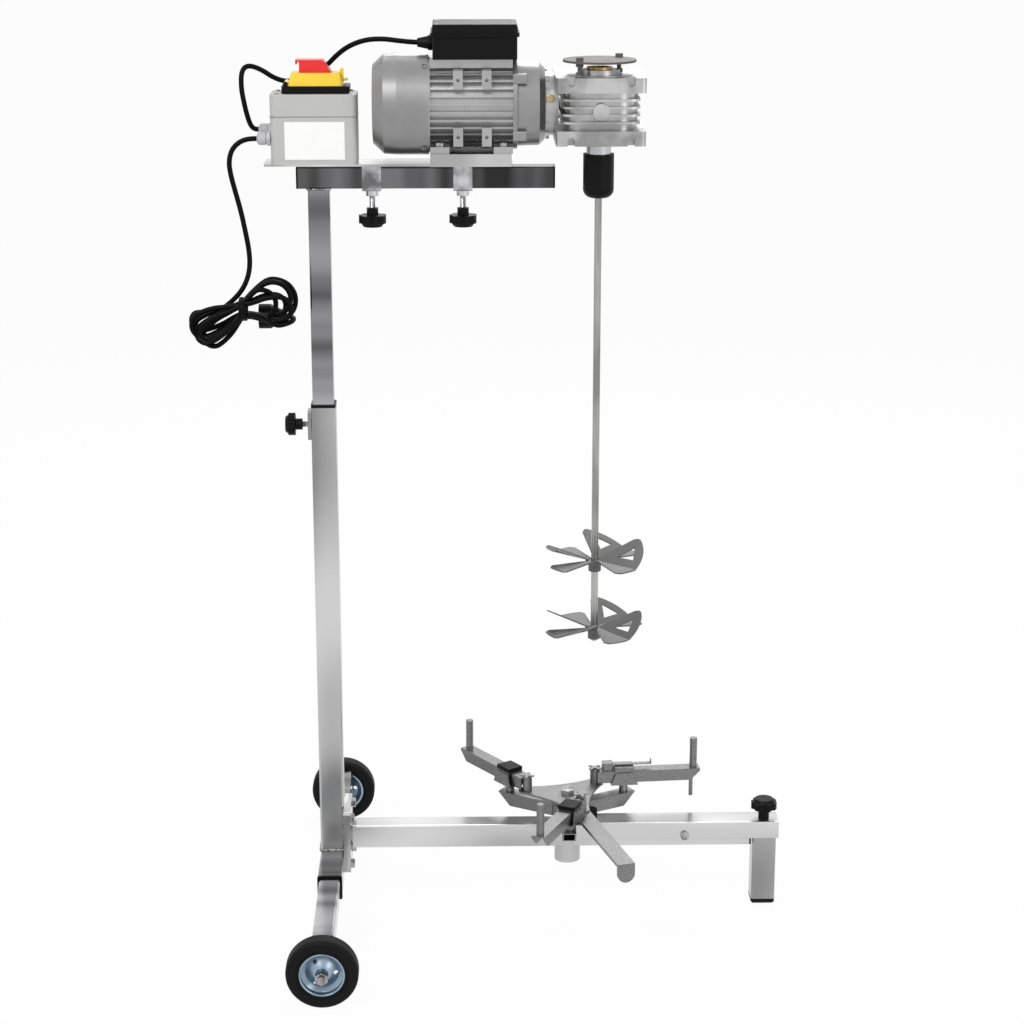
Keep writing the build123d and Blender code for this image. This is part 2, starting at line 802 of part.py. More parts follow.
# Front end shield of the motor
shield_x = mast_x + motor_right
shield_length = shield_right - motor_right
with BuildPart() as motor_end_shield:
    with BuildSketch(Plane(origin=(shield_x, 0, motor_z), x_dir=(1, 0, 0), z_dir=(0, -1, 0))):
        with BuildLine():
            Polyline((0, shaft_hole_r), (0, motor_fin_r - 1), (6, motor_fin_r - 1), (7, shield_r + 1),
                     (shield_length - 8, shield_r), (shield_length, shield_r - 8),
                     (shield_length, shaft_hole_r), close=True)
        make_face()
    revolve(axis=Axis((shield_x, 0, motor_z), (1, 0, 0)))
    with BuildSketch(along_x(shield_x, 0, motor_z)):
        with GridLocations(2 * tie_block_y, 2 * tie_block_z, 2, 2):
            RectangleRounded(tie_block, tie_block, 3)
    extrude(amount=tie_block_length)
finish(motor_end_shield, "motor_end_shield")

# Rotor: shaft, core, cooling fan and worm in one turning piece
worm_x = gearbox_x - worm_length / 2
fan_x = cowl_x + 24
with BuildPart() as motor_rotor:
    with BuildSketch(along_x(fan_x - 6, 0, motor_z)):
        Circle(motor_shaft_dia / 2)
    extrude(amount=worm_x + worm_length + 8 - fan_x)
    with BuildSketch(along_x(mast_x + motor_left + 8, 0, motor_z)):
        Circle(rotor_r)
    extrude(amount=motor_length - 16)
    with BuildSketch(along_x(worm_x, 0, motor_z)):
        Circle(worm_r)
    extrude(amount=worm_length)
    with BuildSketch(along_x(fan_x, 0, motor_z)):
        Circle(fan_r)
    extrude(amount=2.5)
    with BuildSketch(along_x(fan_x, 0, motor_z)):
        Circle(14)
        with PolarLocations(fan_r / 2 + 6, 8):
            Rectangle(fan_r - 14, 2.5)
    extrude(amount=22)
finish(motor_rotor, "motor_rotor")

# Terminal box on the motor, with its own black gland
terminal_low = motor_z + terminal_seat
terminal_gland_z = terminal_low + 19
lead_hole_r = motor_lead_dia / 2 + seat_gap
terminal_mid = mast_x + (terminal_left + terminal_right) / 2
terminal_length = terminal_right - terminal_left
with BuildPart() as terminal_box:
    with BuildSketch(along_z(terminal_mid, 0, terminal_low)):
        RectangleRounded(terminal_length - 6, 2 * terminal_half, 4)
    extrude(amount=terminal_base)
    with BuildSketch(along_z(terminal_mid, 0, terminal_low + 3)):
        RectangleRounded(terminal_length - 12, 2 * terminal_half - 6, 2)
    extrude(amount=terminal_base, mode=Mode.SUBTRACT)
    gland_seat = Plane(origin=(mast_x + terminal_left + 3, 0, terminal_gland_z), x_dir=(0, 1, 0), z_dir=(-1, 0, 0))
    with BuildSketch(gland_seat):
        RegularPolygon(gland_dia / 2, 6, major_radius=False)
    extrude(amount=6)
    with BuildSketch(gland_seat.offset(6)):
        Circle(gland_dia / 2 - 1)
    extrude(amount=gland_length - 6, taper=12)
    with BuildSketch(gland_seat):
        Circle(lead_hole_r)
    extrude(amount=gland_length, both=True, mode=Mode.SUBTRACT)
finish(terminal_box, "terminal_box")
with BuildPart() as terminal_lid:
    with BuildSketch(along_z(terminal_mid, 0, terminal_low + terminal_base)):
        RectangleRounded(terminal_length, 2 * terminal_half + 4, 5)
    extrude(amount=terminal_lid_height / 3)
    with BuildSketch(along_z(terminal_mid, 0, terminal_low + terminal_base + terminal_lid_height / 3)):
        RectangleRounded(terminal_length - 4, 2 * terminal_half, 5)
    extrude(amount=terminal_lid_height * 2 / 3, taper=terminal_lid_slope)
    fillet(terminal_lid.faces().sort_by(Axis.Z)[-1].edges(), 2)
finish(terminal_lid, "terminal_lid")

# Gearbox housing: two flanged rails, a finned waist, cavities for worm and wheel
housing_depth = gearbox_front + gearbox_back + gear_centres
housing_mid_y = (gearbox_back - gearbox_front - gear_centres) / 2
waist_height = gearbox_height - 2 * rail_thick
fin_pitch = waist_height / 5
cover_pocket = gear_cover_sheet - 0.5
with BuildPart() as gearbox_housing:
    for low in (gearbox_low, gearbox_high - rail_thick):
        with BuildSketch(along_z(gearbox_x, housing_mid_y, low)):
            RectangleRounded(gearbox_width, housing_depth, 6)
        extrude(amount=rail_thick)
    with BuildSketch(along_z(gearbox_x, housing_mid_y, gearbox_low + rail_thick)):
        RectangleRounded(gearbox_width - 4 * waist_inset, housing_depth - 4 * waist_inset, 22)
    extrude(amount=waist_height)
    for step in range(1, 5):
        with BuildSketch(along_z(gearbox_x, housing_mid_y, gearbox_low + rail_thick + step * fin_pitch - 1.5)):
            RectangleRounded(gearbox_width - 2 * waist_inset, housing_depth - 2 * waist_inset, 14)
        extrude(amount=3)
    with BuildSketch(along_y(gearbox_x, output_y - gearbox_front + waist_inset / 2, motor_z)):
        Circle(11)
    extrude(amount=20)
    with BuildSketch(along_x(mast_x + shield_right, 0, motor_z)):
        Circle(neck_r)
    extrude(amount=gearbox_left - shield_right + 6)
    with BuildSketch(along_y(gearbox_x, output_y - gearbox_front - panel_lift, motor_z)):
        for side in (-1, 1):
            with Locations((0, side * (gearbox_height - rail_thick) / 2)):
                Rectangle(panel_width, rail_thick)
    extrude(amount=panel_lift + 1)
    for face_y in (output_y - gearbox_front, gearbox_back):
        with BuildSketch(along_y(gearbox_x, face_y - slot_reach, motor_z)):
            for side in (-1, 1):
                with GridLocations(slot_spacing, 0, 2, 1):
                    with Locations((0, side * gearbox_height / 2)):
                        SlotOverall(2 * slot_depth, slot_width, rotation=90)
        extrude(amount=2 * slot_reach, mode=Mode.SUBTRACT)
    for low in (gearbox_low, gearbox_high - cover_pocket):
        with BuildSketch(along_z(gearbox_x, output_y, low)):
            Circle(gear_cover_dia / 2 + seat_gap)
        extrude(amount=cover_pocket, mode=Mode.SUBTRACT)
    with BuildSketch(along_z(gearbox_x, output_y, gearbox_low)):
        Circle(hollow_shaft_dia / 2 + 2)
    extrude(amount=gearbox_height, mode=Mode.SUBTRACT)
    with BuildSketch(along_z(gearbox_x, output_y, motor_z - wheel_face / 2 - 1)):
        Circle(wheel_tip_r + 1.5)
    extrude(amount=wheel_face + 2, mode=Mode.SUBTRACT)
    with BuildSketch(along_x(worm_x - 1, 0, motor_z)):
        Circle(worm_r + 1.5)
    extrude(amount=worm_length + 2, mode=Mode.SUBTRACT)
    with BuildSketch(along_x(mast_x + shield_right, 0, motor_z)):
        Circle(shaft_hole_r)
    extrude(amount=gearbox_width - 4, mode=Mode.SUBTRACT)
finish(gearbox_housing, "gearbox_housing")

with BuildPart() as gearbox_covers:
    for low in (gearbox_low - 0.5, gearbox_high - cover_pocket):
        with BuildSketch(along_z(gearbox_x, output_y, low)):
            Circle(gear_cover_dia / 2)
            Circle(hollow_shaft_dia / 2 + running_gap, mode=Mode.SUBTRACT)
        extrude(amount=gear_cover_sheet)
    with BuildSketch(along_z(gearbox_x, output_y, gearbox_high + 0.5)):
        Circle(boss_ring_dia / 2)
        Circle(hollow_shaft_dia / 2 + running_gap, mode=Mode.SUBTRACT)
    extrude(amount=boss_ring_height)
finish(gearbox_covers, "gearbox_covers")

# Guard disc over the hollow shaft, on two stand-off bolts
cover_high = gearbox_high + 0.5
guard_low = cover_high + guard_lift
with BuildPart() as guard_disc:
    with BuildSketch(along_z(gearbox_x, output_y, guard_low)):
        Circle(guard_dia / 2)
        with Locations((-guard_bolt_offset, -guard_bolt_offset), (guard_bolt_offset, guard_bolt_offset)):
            Circle(guard_bolt_dia / 2 + seat_gap, mode=Mode.SUBTRACT)
    extrude(amount=guard_sheet)
    for way in (-1, 1):
        bolt_x = gearbox_x + way * guard_bolt_offset
        bolt_y = output_y + way * guard_bolt_offset
        with BuildSketch(along_z(bolt_x, bolt_y, cover_high)):
            Circle(guard_bolt_dia / 2)
        extrude(amount=guard_lift + guard_sheet + 1)
        for low, height in ((cover_high, 4), (guard_low - 5, 5), (guard_low + guard_sheet, 5)):
            with BuildSketch(along_z(bolt_x, bolt_y, low)):
                hexagon(10)
            extrude(amount=height)
finish(guard_disc, "guard_disc")

# Worm wheel on its hollow output shaft
hollow_shaft_length = gearbox_height + 1 + boss_ring_height + 3
with BuildPart() as worm_wheel:
    with BuildSketch(along_z(gearbox_x, output_y, gearbox_low - 0.5)):
        Circle(hollow_shaft_dia / 2)
    extrude(amount=hollow_shaft_length)
    with BuildSketch(along_z(gearbox_x, output_y, motor_z - wheel_face / 2)):
        Circle(wheel_tip_r)
        with PolarLocations(wheel_tip_r, wheel_teeth):
            Circle(1.4, mode=Mode.SUBTRACT)
    extrude(amount=wheel_face)
    with BuildSketch(along_z(gearbox_x, output_y, gearbox_low - 0.5)):
        Circle(hollow_bore_dia / 2)
    extrude(amount=hollow_shaft_length, mode=Mode.SUBTRACT)
finish(worm_wheel, "worm_wheel")

# Chuck: adaptor with a stub in the hollow shaft, core, and the grip sleeve that turns on the core
adaptor_high = gearbox_low - 0.5
chuck_high = adaptor_high - adaptor_height
chuck_low = chuck_high - chuck_length
core_low = chuck_low + 6
shaft_bore_r = shaft_dia / 2 + seat_gap / 2
with BuildPart() as chuck_body:
    with BuildSketch(along_z(gearbox_x, output_y, adaptor_high)):
        Circle(hollow_bore_dia / 2 - seat_gap / 2)
    extrude(amount=gearbox_height * 0.6)
    with BuildSketch(along_z(gearbox_x, output_y, chuck_high)):
        Circle(adaptor_dia / 2)
    extrude(amount=adaptor_height)
    with BuildSketch(along_z(gearbox_x, output_y, core_low)):
        Circle(chuck_core_dia / 2)
    extrude(amount=chuck_high - core_low)
    with BuildSketch(along_z(gearbox_x, output_y, core_low)):
        Circle(shaft_bore_r)
    extrude(amount=chuck_length, mode=Mode.SUBTRACT)
finish(chuck_body, "chuck_body")
with BuildPart() as chuck_sleeve:
    with BuildSketch(Plane(origin=(gearbox_x, output_y, chuck_low), x_dir=(1, 0, 0), z_dir=(0, -1, 0))):
        with BuildLine():
            bore_r = shaft_dia / 2 + 1
            core_r = chuck_core_dia / 2 + running_gap
            nose = 12
            Polyline((bore_r, 0), (chuck_dia / 2 - nose, 0))
            RadiusArc((chuck_dia / 2 - nose, 0), (chuck_dia / 2, nose), -nose)
            Polyline((chuck_dia / 2, nose), (chuck_dia / 2, chuck_length - free_gap),
                     (core_r, chuck_length - free_gap), (core_r, 6 - free_gap), (bore_r, 6 - free_gap), (bore_r, 0))
        make_face()
    revolve(axis=Axis((gearbox_x, output_y, chuck_low), (0, 0, 1)))
finish(chuck_sleeve, "chuck_sleeve")

# Stirring shaft
shaft_high = core_low + chuck_length - 2
with BuildPart() as stir_shaft:
    with BuildSketch(along_z(gearbox_x, output_y, shaft_low)):
        Circle(shaft_dia / 2)
    extrude(amount=shaft_high - shaft_low)
    chamfer(stir_shaft.edges().sort_by(Axis.Z)[0], 1)
finish(stir_shaft, "stir_shaft")


# One sheet-steel blade: a flat part at the trailing side, then a bend and a raised part with a window
def make_blade(low, angle):
    start = polar(impeller_r, blade_start)
    flat_mid = polar(impeller_r, (blade_start + blade_bend) / 2)
    bend = polar(impeller_r, blade_bend)
    raised_mid = polar(impeller_r, blade_sweep / 2)
    lead_edge = polar(impeller_r, blade_sweep)
    flat = along_z(gearbox_x, output_y, low, angle)
    raised = along_z(gearbox_x, output_y, low, angle + blade_bend).rotated((blade_lift, 0, 0))
    with BuildPart() as blade:
        with BuildSketch(flat):
            with BuildLine():
                Line((0, 0), start)
                ThreePointArc(start, flat_mid, bend)
                Line(bend, (0, 0))
            make_face()
        extrude(amount=impeller_sheet)
        with BuildSketch(raised):
            with BuildLine():
                Line((0, 0), (impeller_r, 0))
                ThreePointArc((impeller_r, 0), raised_mid, lead_edge)
                Line(lead_edge, (0, 0))
            make_face()
            with BuildLine():
                Polyline(polar(57, 54), polar(65, 31), polar(32, 45), close=True)
            make_face(mode=Mode.SUBTRACT)
        extrude(amount=impeller_sheet)
    return blade


with BuildPart() as impellers:
    for low, stagger in ((shaft_low, -impeller_stagger), (shaft_low + impeller_pitch, 0)):
        with BuildSketch(along_z(gearbox_x, output_y, low)):
            Circle(impeller_hub_dia / 2)
        extrude(amount=impeller_hub_height)
        with BuildSketch(along_z(gearbox_x, output_y, low + impeller_hub_height)):
            Circle(impeller_hub_dia / 2 + 4)
        extrude(amount=impeller_sheet)
        for index in range(blade_count):
            add(make_blade(low + impeller_hub_height, index * 360 / blade_count + stagger).part)
        with BuildSketch(along_z(gearbox_x, output_y, low - 1)):
            Circle(shaft_bore_r)
        extrude(amount=4 * impeller_hub_height, mode=Mode.SUBTRACT)
finish(impellers, "impellers")

# Control box, lid and switch
box_mid_x = mast_x + (box_right - box_left) / 2
box_mid_y = box_depth / 2 - plate_front
box_length = box_left + box_right
with BuildPart() as control_box:
    with BuildSketch(along_z(box_mid_x, box_mid_y, plate_high)):
        RectangleRounded(box_length, box_depth, box_corner)
    extrude(amount=box_seam_height)
    with BuildSketch(along_z(box_mid_x, box_mid_y, plate_high + box_wall)):
        RectangleRounded(box_length - 2 * box_wall, box_depth - 2 * box_wall, box_corner - box_wall)
    extrude(amount=box_seam_height, mode=Mode.SUBTRACT)
finish(control_box, "control_box")
with BuildPart() as control_lid:
    with BuildSketch(along_z(box_mid_x, box_mid_y, box_seam)):
        RectangleRounded(box_length, box_depth, box_corner)
    extrude(amount=box_top - box_seam)
    fillet(control_lid.faces().sort_by(Axis.Z)[-1].edges(), 1.5)
    with BuildSketch(along_z(box_mid_x, box_mid_y, box_seam)):
        RectangleRounded(box_length - 2 * box_wall, box_depth - 2 * box_wall, box_corner - box_wall)
    extrude(amount=box_top - box_seam - box_wall, mode=Mode.SUBTRACT)
finish(control_lid, "control_lid")

switch_mid = mast_x + switch_x
switch_high = box_top + switch_base
hinge_x = switch_mid - switch_length / 2 - 3
hinge_z = switch_high + 3
hinge_half = 14
start_x = switch_mid + 14
with BuildPart() as switch_plate:
    with BuildSketch(along_z(switch_mid, 0, box_top)):
        RectangleRounded(switch_plate_length, switch_width + 4, 5)
    extrude(amount=switch_base)
    with BuildSketch(along_z(start_x, 0, box_top + 4)):
        Circle(8 + running_gap)
    extrude(amount=switch_base, mode=Mode.SUBTRACT)
    for y in (-hinge_half - 4, hinge_half + free_gap):
        with BuildSketch(along_y(hinge_x, y, hinge_z)):
            Circle(2.9)
            with Locations((-0.7, 5)):
                Rectangle(4.4, 10)
        extrude(amount=4 - free_gap)
    with BuildSketch(along_y(hinge_x, -hinge_half - 3, hinge_z)):
        Circle(1.5)
    extrude(amount=2 * hinge_half + 6)
finish(switch_plate, "switch_plate")

# Hinged stop cover: tapered lid with a latch at its free end and a slot for the button
cover_low = switch_high + 0.3
cover_high_z = cover_low + cover_height
with BuildPart() as stop_cover:
    with BuildSketch(along_z(switch_mid, 0, cover_low)):
        RectangleRounded(switch_length, switch_width, 5)
    extrude(amount=cover_height, taper=cover_taper)
    with BuildSketch(along_y(switch_mid + switch_length / 2, -latch_width / 2, cover_low)):
        with BuildLine():
            Polyline((-8, -4), (6, -6), (6, -9), (0, -9), (0, -cover_height - 5), (-4, -cover_height - 5), close=True)
        make_face()
    extrude(amount=latch_width)
    with BuildSketch(along_z(switch_mid, 0, cover_low)):
        RectangleRounded(switch_length - 2 * cover_wall, switch_width - 2 * cover_wall, 3)
    extrude(amount=cover_height - cover_wall, taper=cover_taper, mode=Mode.SUBTRACT)
    with BuildSketch(along_y(hinge_x, -hinge_half + free_gap, hinge_z)):
        Circle(2.9)
        with Locations((3.5, 0)):
            Rectangle(5, 4)
    extrude(amount=2 * hinge_half - 2 * free_gap)
    with BuildSketch(along_y(hinge_x, -hinge_half, hinge_z)):
        Circle(1.5 + running_gap)
    extrude(amount=2 * hinge_half, mode=Mode.SUBTRACT)
    with BuildSketch(along_z(switch_mid, 0, cover_high_z - cover_wall)):
        Rectangle(button_length + 2 * slide_gap, button_width + 2 * slide_gap)
    extrude(amount=2 * cover_wall, mode=Mode.SUBTRACT)
finish(stop_cover, "stop_cover")

# Stop button: a wedge with a hooked lip at its left end
with BuildPart() as stop_button:
    with BuildSketch(along_y(switch_mid, -button_width / 2, cover_high_z)):
        with BuildLine():
            half = button_length / 2
            Polyline((-half, 6), (half, 6), (half, 0), (half - 12, -button_height), (-half - 5, -button_height),
                     (-half - 5, -button_height + 6), (-half - 3, -button_height + 6),
                     (-half - 3, -button_height + 2.5), (-half, -button_height + 2.5), close=True)
        make_face()
    extrude(amount=button_width)
finish(stop_button, "stop_button")
with BuildPart() as start_button:
    with BuildSketch(along_z(start_x, 0, box_top + 5.5)):
        Circle(8)
    extrude(amount=9)
finish(start_button, "start_button")

# Two cable glands on the end of the control box
with BuildPart() as cable_glands:
    for y, z in ((mains_gland_y, mains_gland_z), (motor_gland_y, motor_gland_z)):
        seat = Plane(origin=(mast_x - box_left, y, z), x_dir=(0, 1, 0), z_dir=(-1, 0, 0))
        with BuildSketch(seat):
            RegularPolygon(gland_dia / 2 + 1, 6, major_radius=False)
        extrude(amount=6)
        with BuildSketch(seat.offset(6)):
            Circle(gland_dia / 2)
        extrude(amount=gland_length - 6, taper=14)
        with BuildSketch(seat):
            Circle(lead_hole_r)
        extrude(amount=gland_length, mode=Mode.SUBTRACT)
finish(cable_glands, "cable_glands")

# Routes of the two leads, as points from the mast axis along X, from the stand's middle, and from the floor
motor_route = [(-box_left, motor_gland_y, motor_gland_z), (-84, 17, 1150), (-92, 17, 1154), (-97, 17.5, 1168),
               (-101, 18.5, 1186), (-105, 22, 1208), (-104, 26, 1230), (-95, 30, 1237), (-78, 33, 1231),
               (-58, 35.5, 1217), (-38, 37, 1213), (-12, 37, 1221), (10, 35, 1233), (26, 30, 1250),
               (43, 24, 1263), (66, 16, 1272), (90, 9, 1274), (113, 3, 1271.5),
               (terminal_left - 20, 0, terminal_gland_z), (terminal_left + 3, 0, terminal_gland_z)]
mains_route = [(-box_left, mains_gland_y, mains_gland_z), (-84, -20, 1143), (-97, -20, 1142), (-108, -21, 1137),
               (-117, -23, 1127), (-120.5, -25.5, 1111), (-118, -28, 1094), (-113, -31, 1075), (-105, -35, 1046),
               (-99, -39, 1016), (-95, -42, 994), (-94, -44.5, 974), (-97, -47, 956), (-104, -50.5, 940),
               (-115, -54, 925.5), (-128, -58, 915), (-142, -61, 911)]


def lead(route, diameter):
    """Round lead along straight runs joined by tangent arcs."""
    points = [Vector(mast_x + x, y, z) for x, y, z in route]
    runs = [points[i + 1] - points[i] for i in range(len(points) - 1)]
    radii = []
    for i in range(len(runs) - 1):
        turn = radians(runs[i].get_angle(runs[i + 1]))
        radii.append(0.45 * min(runs[i].length, runs[i + 1].length) / tan(turn / 2))
    print("bend radii", [round(radius) for radius in radii])
    with BuildPart() as cord:
        with BuildLine() as path:
            FilletPolyline(*points, radius=radii)
        with BuildSketch(Plane(origin=points[0], z_dir=runs[0])):
            Circle(diameter / 2)
        sweep(path=path.wires()[0])
    area = pi * diameter ** 2 / 4
    print("lead volume over section times length", round(cord.part.volume / (area * path.wires()[0].length), 4))
    return cord


finish(lead(motor_route, motor_lead_dia), "motor_lead")
finish(lead(mains_route, mains_dia), "mains_lead")

# The tied hank at the end of the mains lead: two lobes on either side of the tie
hank_x = mast_x - hank_reach
hank_face = Plane(origin=(hank_x, hank_y + hank_depth / 2, hank_z), x_dir=(1, 0, 0), z_dir=(0, -1, 0))
with BuildPart() as mains_hank:
    with BuildSketch(hank_face):
        with Locations(Vector(*polar(hank_right_length / 2, hank_right_tilt))):
            Ellipse(hank_right_length / 2, hank_right_width / 2, rotation=hank_right_tilt)
        with Locations(Vector(*polar(-hank_left_length / 2, hank_left_tilt))):
            Ellipse(hank_left_length / 2, hank_left_width / 2, rotation=hank_left_tilt)
        Rectangle(hank_waist, hank_waist, rotation=hank_left_tilt)
    extrude(amount=hank_depth)
finish(mains_hank, "mains_hank")

# Mains plug, which lies behind the hank with its pins toward the tie
plug_x = hank_x + plug_past_tie
plug_y = hank_y + hank_depth / 2 + plug_dia / 2 - 4
with BuildPart() as mains_plug:
    with BuildSketch(Plane(origin=(plug_x, plug_y, plug_z), x_dir=(-1, 0, 0), z_dir=(0, 1, 0))):
        with BuildLine():
            Polyline((0, 0), (0, 6), (14, plug_dia / 2 - 4), (22, plug_dia / 2), (plug_length, plug_dia / 2),
                     (plug_length, 0), close=True)
        make_face()
    revolve(axis=Axis((plug_x, plug_y, plug_z), (1, 0, 0)))
    with BuildSketch(Plane(origin=(plug_x - plug_length, plug_y, plug_z), x_dir=(0, 1, 0), z_dir=(-1, 0, 0))):
        with GridLocations(plug_pin_spacing, 0, 2, 1):
            Circle(plug_pin_dia / 2)
    extrude(amount=plug_pin_length)
finish(mains_plug, "mains_plug")

# Bucket clamp: a stem that turns in the boss, with three bars, and the pivot screws that stand on them
clamp_angles = {"right": spider_angle, "left": spider_angle + 120, "front": spider_angle + 240}
spider_low = spider_high - spider_bar
hub_seat = spider_hub_dia / 2
with BuildPart() as spider_arms:
    with BuildSketch(along_z(boss_x, 0, stem_low)):
        Circle(stem_dia / 2)
    extrude(amount=spider_low - stem_low)
    with BuildSketch(along_z(boss_x, 0, spider_low)):
        Circle(hub_seat)
    extrude(amount=spider_bar)
    for angle in clamp_angles.values():
        way = (cos(radians(angle)), sin(radians(angle)), 0)
        across = (sin(radians(angle)), -cos(radians(angle)), 0)
        side_view = Plane(origin=(boss_x, 0, spider_low), x_dir=way, z_dir=across)
        with BuildSketch(side_view.offset(-spider_bar / 2)):
            with BuildLine():
                Polyline((hub_seat - 2, 0), (hub_seat - 2, spider_bar), (spider_tip, spider_bar),
                         (spider_tip - spider_bar, 0), close=True)
            make_face()
        extrude(amount=spider_bar)
    for angle in clamp_angles.values():
        way = (cos(radians(angle)), sin(radians(angle)), 0)
        across = (sin(radians(angle)), -cos(radians(angle)), 0)
        bore = Plane(origin=(boss_x + way[0] * hub_seat, way[1] * hub_seat, spider_low + spider_bar / 2),
                     x_dir=across, z_dir=way)
        with BuildSketch(bore):
            Rectangle(spider_bar - 4, spider_bar - 4)
        extrude(amount=spider_tip, mode=Mode.SUBTRACT)
    for angle in clamp_angles.values():
        with BuildSketch(along_z(boss_x + post_radius * cos(radians(angle)), post_radius * sin(radians(angle)),
                                 spider_high - 3)):
            Circle(pivot_dia / 2 + seat_gap)
        extrude(amount=4, mode=Mode.SUBTRACT)
finish(spider_arms, "spider_arms")

cam_high = cam_low + cam_sheet
guide_floor = cam_high - guide_sheet
with BuildPart() as pivot_screws:
    with BuildSketch(along_z(boss_x, 0, spider_high)):
        Circle(centre_pivot_dia / 2)
    extrude(amount=cam_high + free_gap - spider_high)
    with BuildSketch(along_z(boss_x, 0, cam_high + free_gap)):
        hexagon(19)
    extrude(amount=7)
    for angle in clamp_angles.values():
        post_x = boss_x + post_radius * cos(radians(angle))
        post_y = post_radius * sin(radians(angle))
        with BuildSketch(along_z(post_x, post_y, spider_high - 2)):
            Circle(pivot_dia / 2)
        extrude(amount=cam_high + free_gap - spider_high + 2)
        with BuildSketch(along_z(post_x, post_y, cam_high + free_gap)):
            Circle(pivot_dia / 2 + 1)
        extrude(amount=0.6)
finish(pivot_screws, "pivot_screws")

# Cam plate with three lobes, its hub, the operating lever and the pivot pins of the gripping arms
cam_angles = {name: angle + cam_lead for name, angle in clamp_angles.items()}
pin_high = grip_low + grip_height + 3


with BuildPart() as clamp_plate:
    with BuildSketch(along_z(boss_x, 0, cam_low)):
        with BuildLine():
            for angle in cam_angles.values():
                here = Vector(*polar(cam_radius, angle))
                after = Vector(*polar(cam_radius, angle + 120))
                side_step = Vector(*polar(lobe_r, angle + 90))
                next_step = Vector(*polar(lobe_r, angle + 30))
                ThreePointArc(here - side_step, Vector(*polar(cam_radius + lobe_r, angle)), here + side_step)
                ThreePointArc(here + side_step, Vector(*polar(cam_waist_r, angle + 60)), after - Vector(
                    *polar(lobe_r, angle + 210)))
        make_face()
    extrude(amount=cam_sheet)
    with BuildSketch(along_z(boss_x, 0, spider_high + free_gap)):
        Circle(cam_hub_dia / 2)
    extrude(amount=cam_low - spider_high - free_gap)
    lever_plane = along_z(boss_x, 0, cam_low - lever_sheet, cam_angles["front"])
    with BuildSketch(lever_plane):
        with Locations((lever_reach / 2, 0)):
            Rectangle(lever_reach, lever_width)
    extrude(amount=lever_sheet)
    lever_end = Plane(origin=(boss_x + polar(lever_reach, cam_angles["front"])[0],
                              polar(lever_reach, cam_angles["front"])[1], cam_low),
                      x_dir=(-sin(radians(cam_angles["front"])), cos(radians(cam_angles["front"])), 0),
                      z_dir=(cos(radians(cam_angles["front"])), sin(radians(cam_angles["front"])), 0))
    with BuildSketch(lever_end.offset(-lever_sheet)):
        with Locations((0, -(lever_tab - lever_width / 2) / 2)):
            Rectangle(lever_width, lever_tab - lever_width / 2)
        with Locations((0, -lever_tab + lever_width / 2)):
            Circle(lever_width / 2)
    extrude(amount=lever_sheet)
    for angle in cam_angles.values():
        with BuildSketch(along_z(boss_x + polar(cam_radius, angle)[0], polar(cam_radius, angle)[1], cam_high)):
            Circle(pivot_dia / 2)
        extrude(amount=pin_high + free_gap - cam_high)
        with BuildSketch(along_z(boss_x + polar(cam_radius, angle)[0], polar(cam_radius, angle)[1],
                                 pin_high + free_gap, angle)):
            Rectangle(washer_length, washer_width)
            Rectangle(washer_width, washer_length)
        extrude(amount=washer_sheet)
    with BuildSketch(along_z(boss_x, 0, spider_high)):
        Circle(centre_pivot_dia / 2 + running_gap)
    extrude(amount=cam_high - spider_high, mode=Mode.SUBTRACT)
finish(clamp_plate, "clamp_plate")

# Gripping arms: channel on a pivot sleeve, with an upright pin near the far end
swing = degrees(atan2(-cam_radius * sin(radians(cam_lead)), post_radius - cam_radius * cos(radians(cam_lead))))
sleeve_bore_r = pivot_dia / 2 + running_gap


def make_grip(name):
    heading = clamp_angles[name] + swing
    px, py = polar(cam_radius, cam_angles[name])
    base = along_z(boss_x + px, py, grip_low, heading)
    side_view = Plane(origin=base.origin, x_dir=base.x_dir, z_dir=-base.y_dir)
    tail = grip_length + grip_tail
    with BuildPart() as grip:
        with BuildSketch(side_view.offset(-grip_width / 2)):
            with BuildLine():
                Polyline((3, 0), (3, grip_height), (tail, grip_height), (tail, grip_height - 4),
                         (tail - grip_height + 4, 0), close=True)
            make_face()
        extrude(amount=grip_width)
        with BuildSketch(side_view.offset(-grip_width / 2 + grip_sheet)):
            with Locations((tail / 2, (grip_height - grip_sheet) / 2 - 1)):
                Rectangle(tail + 10, grip_height - grip_sheet + 2)
        extrude(amount=grip_width - 2 * grip_sheet, mode=Mode.SUBTRACT)
        with BuildSketch(base.offset(cam_high + free_gap - grip_low)):
            Circle(sleeve_dia / 2 + 0.5)
        extrude(amount=pin_high - cam_high - free_gap)
        with BuildSketch(base.offset(grip_height)):
            with Locations((grip_length, 0)):
                Circle(grip_pin_dia / 2)
        extrude(amount=grip_pin_height)
        fillet(grip.edges().group_by(Axis.Z)[-1], 1.5)
        if name == "right":
            with BuildSketch(base.offset(-lower_rod_length)):
                with Locations((grip_length - 3, 0)):
                    Circle(lower_rod_dia / 2)
            extrude(amount=lower_rod_length + grip_height - 1)
            with BuildSketch(base.offset(grip_height)):
                with Locations((block_start + block_length / 2, 0)):
                    RectangleRounded(block_length, block_width, 2)
            extrude(amount=block_height)
            with BuildSketch(side_view.offset(-strip_width / 2)):
                with BuildLine():
                    low = grip_height + guide_clearance
                    end = block_start + strip_length
                    Polyline((block_start + 8, low), (end, low), (end, low + 7), (end - strip_sheet, low + 7),
                             (end - strip_sheet, low + strip_sheet), (block_start + 8, low + strip_sheet), close=True)
                make_face()
            extrude(amount=strip_width)
        with BuildSketch(base.offset(-10)):
            Circle(sleeve_bore_r)
        extrude(amount=grip_height + 20, mode=Mode.SUBTRACT)
    return grip


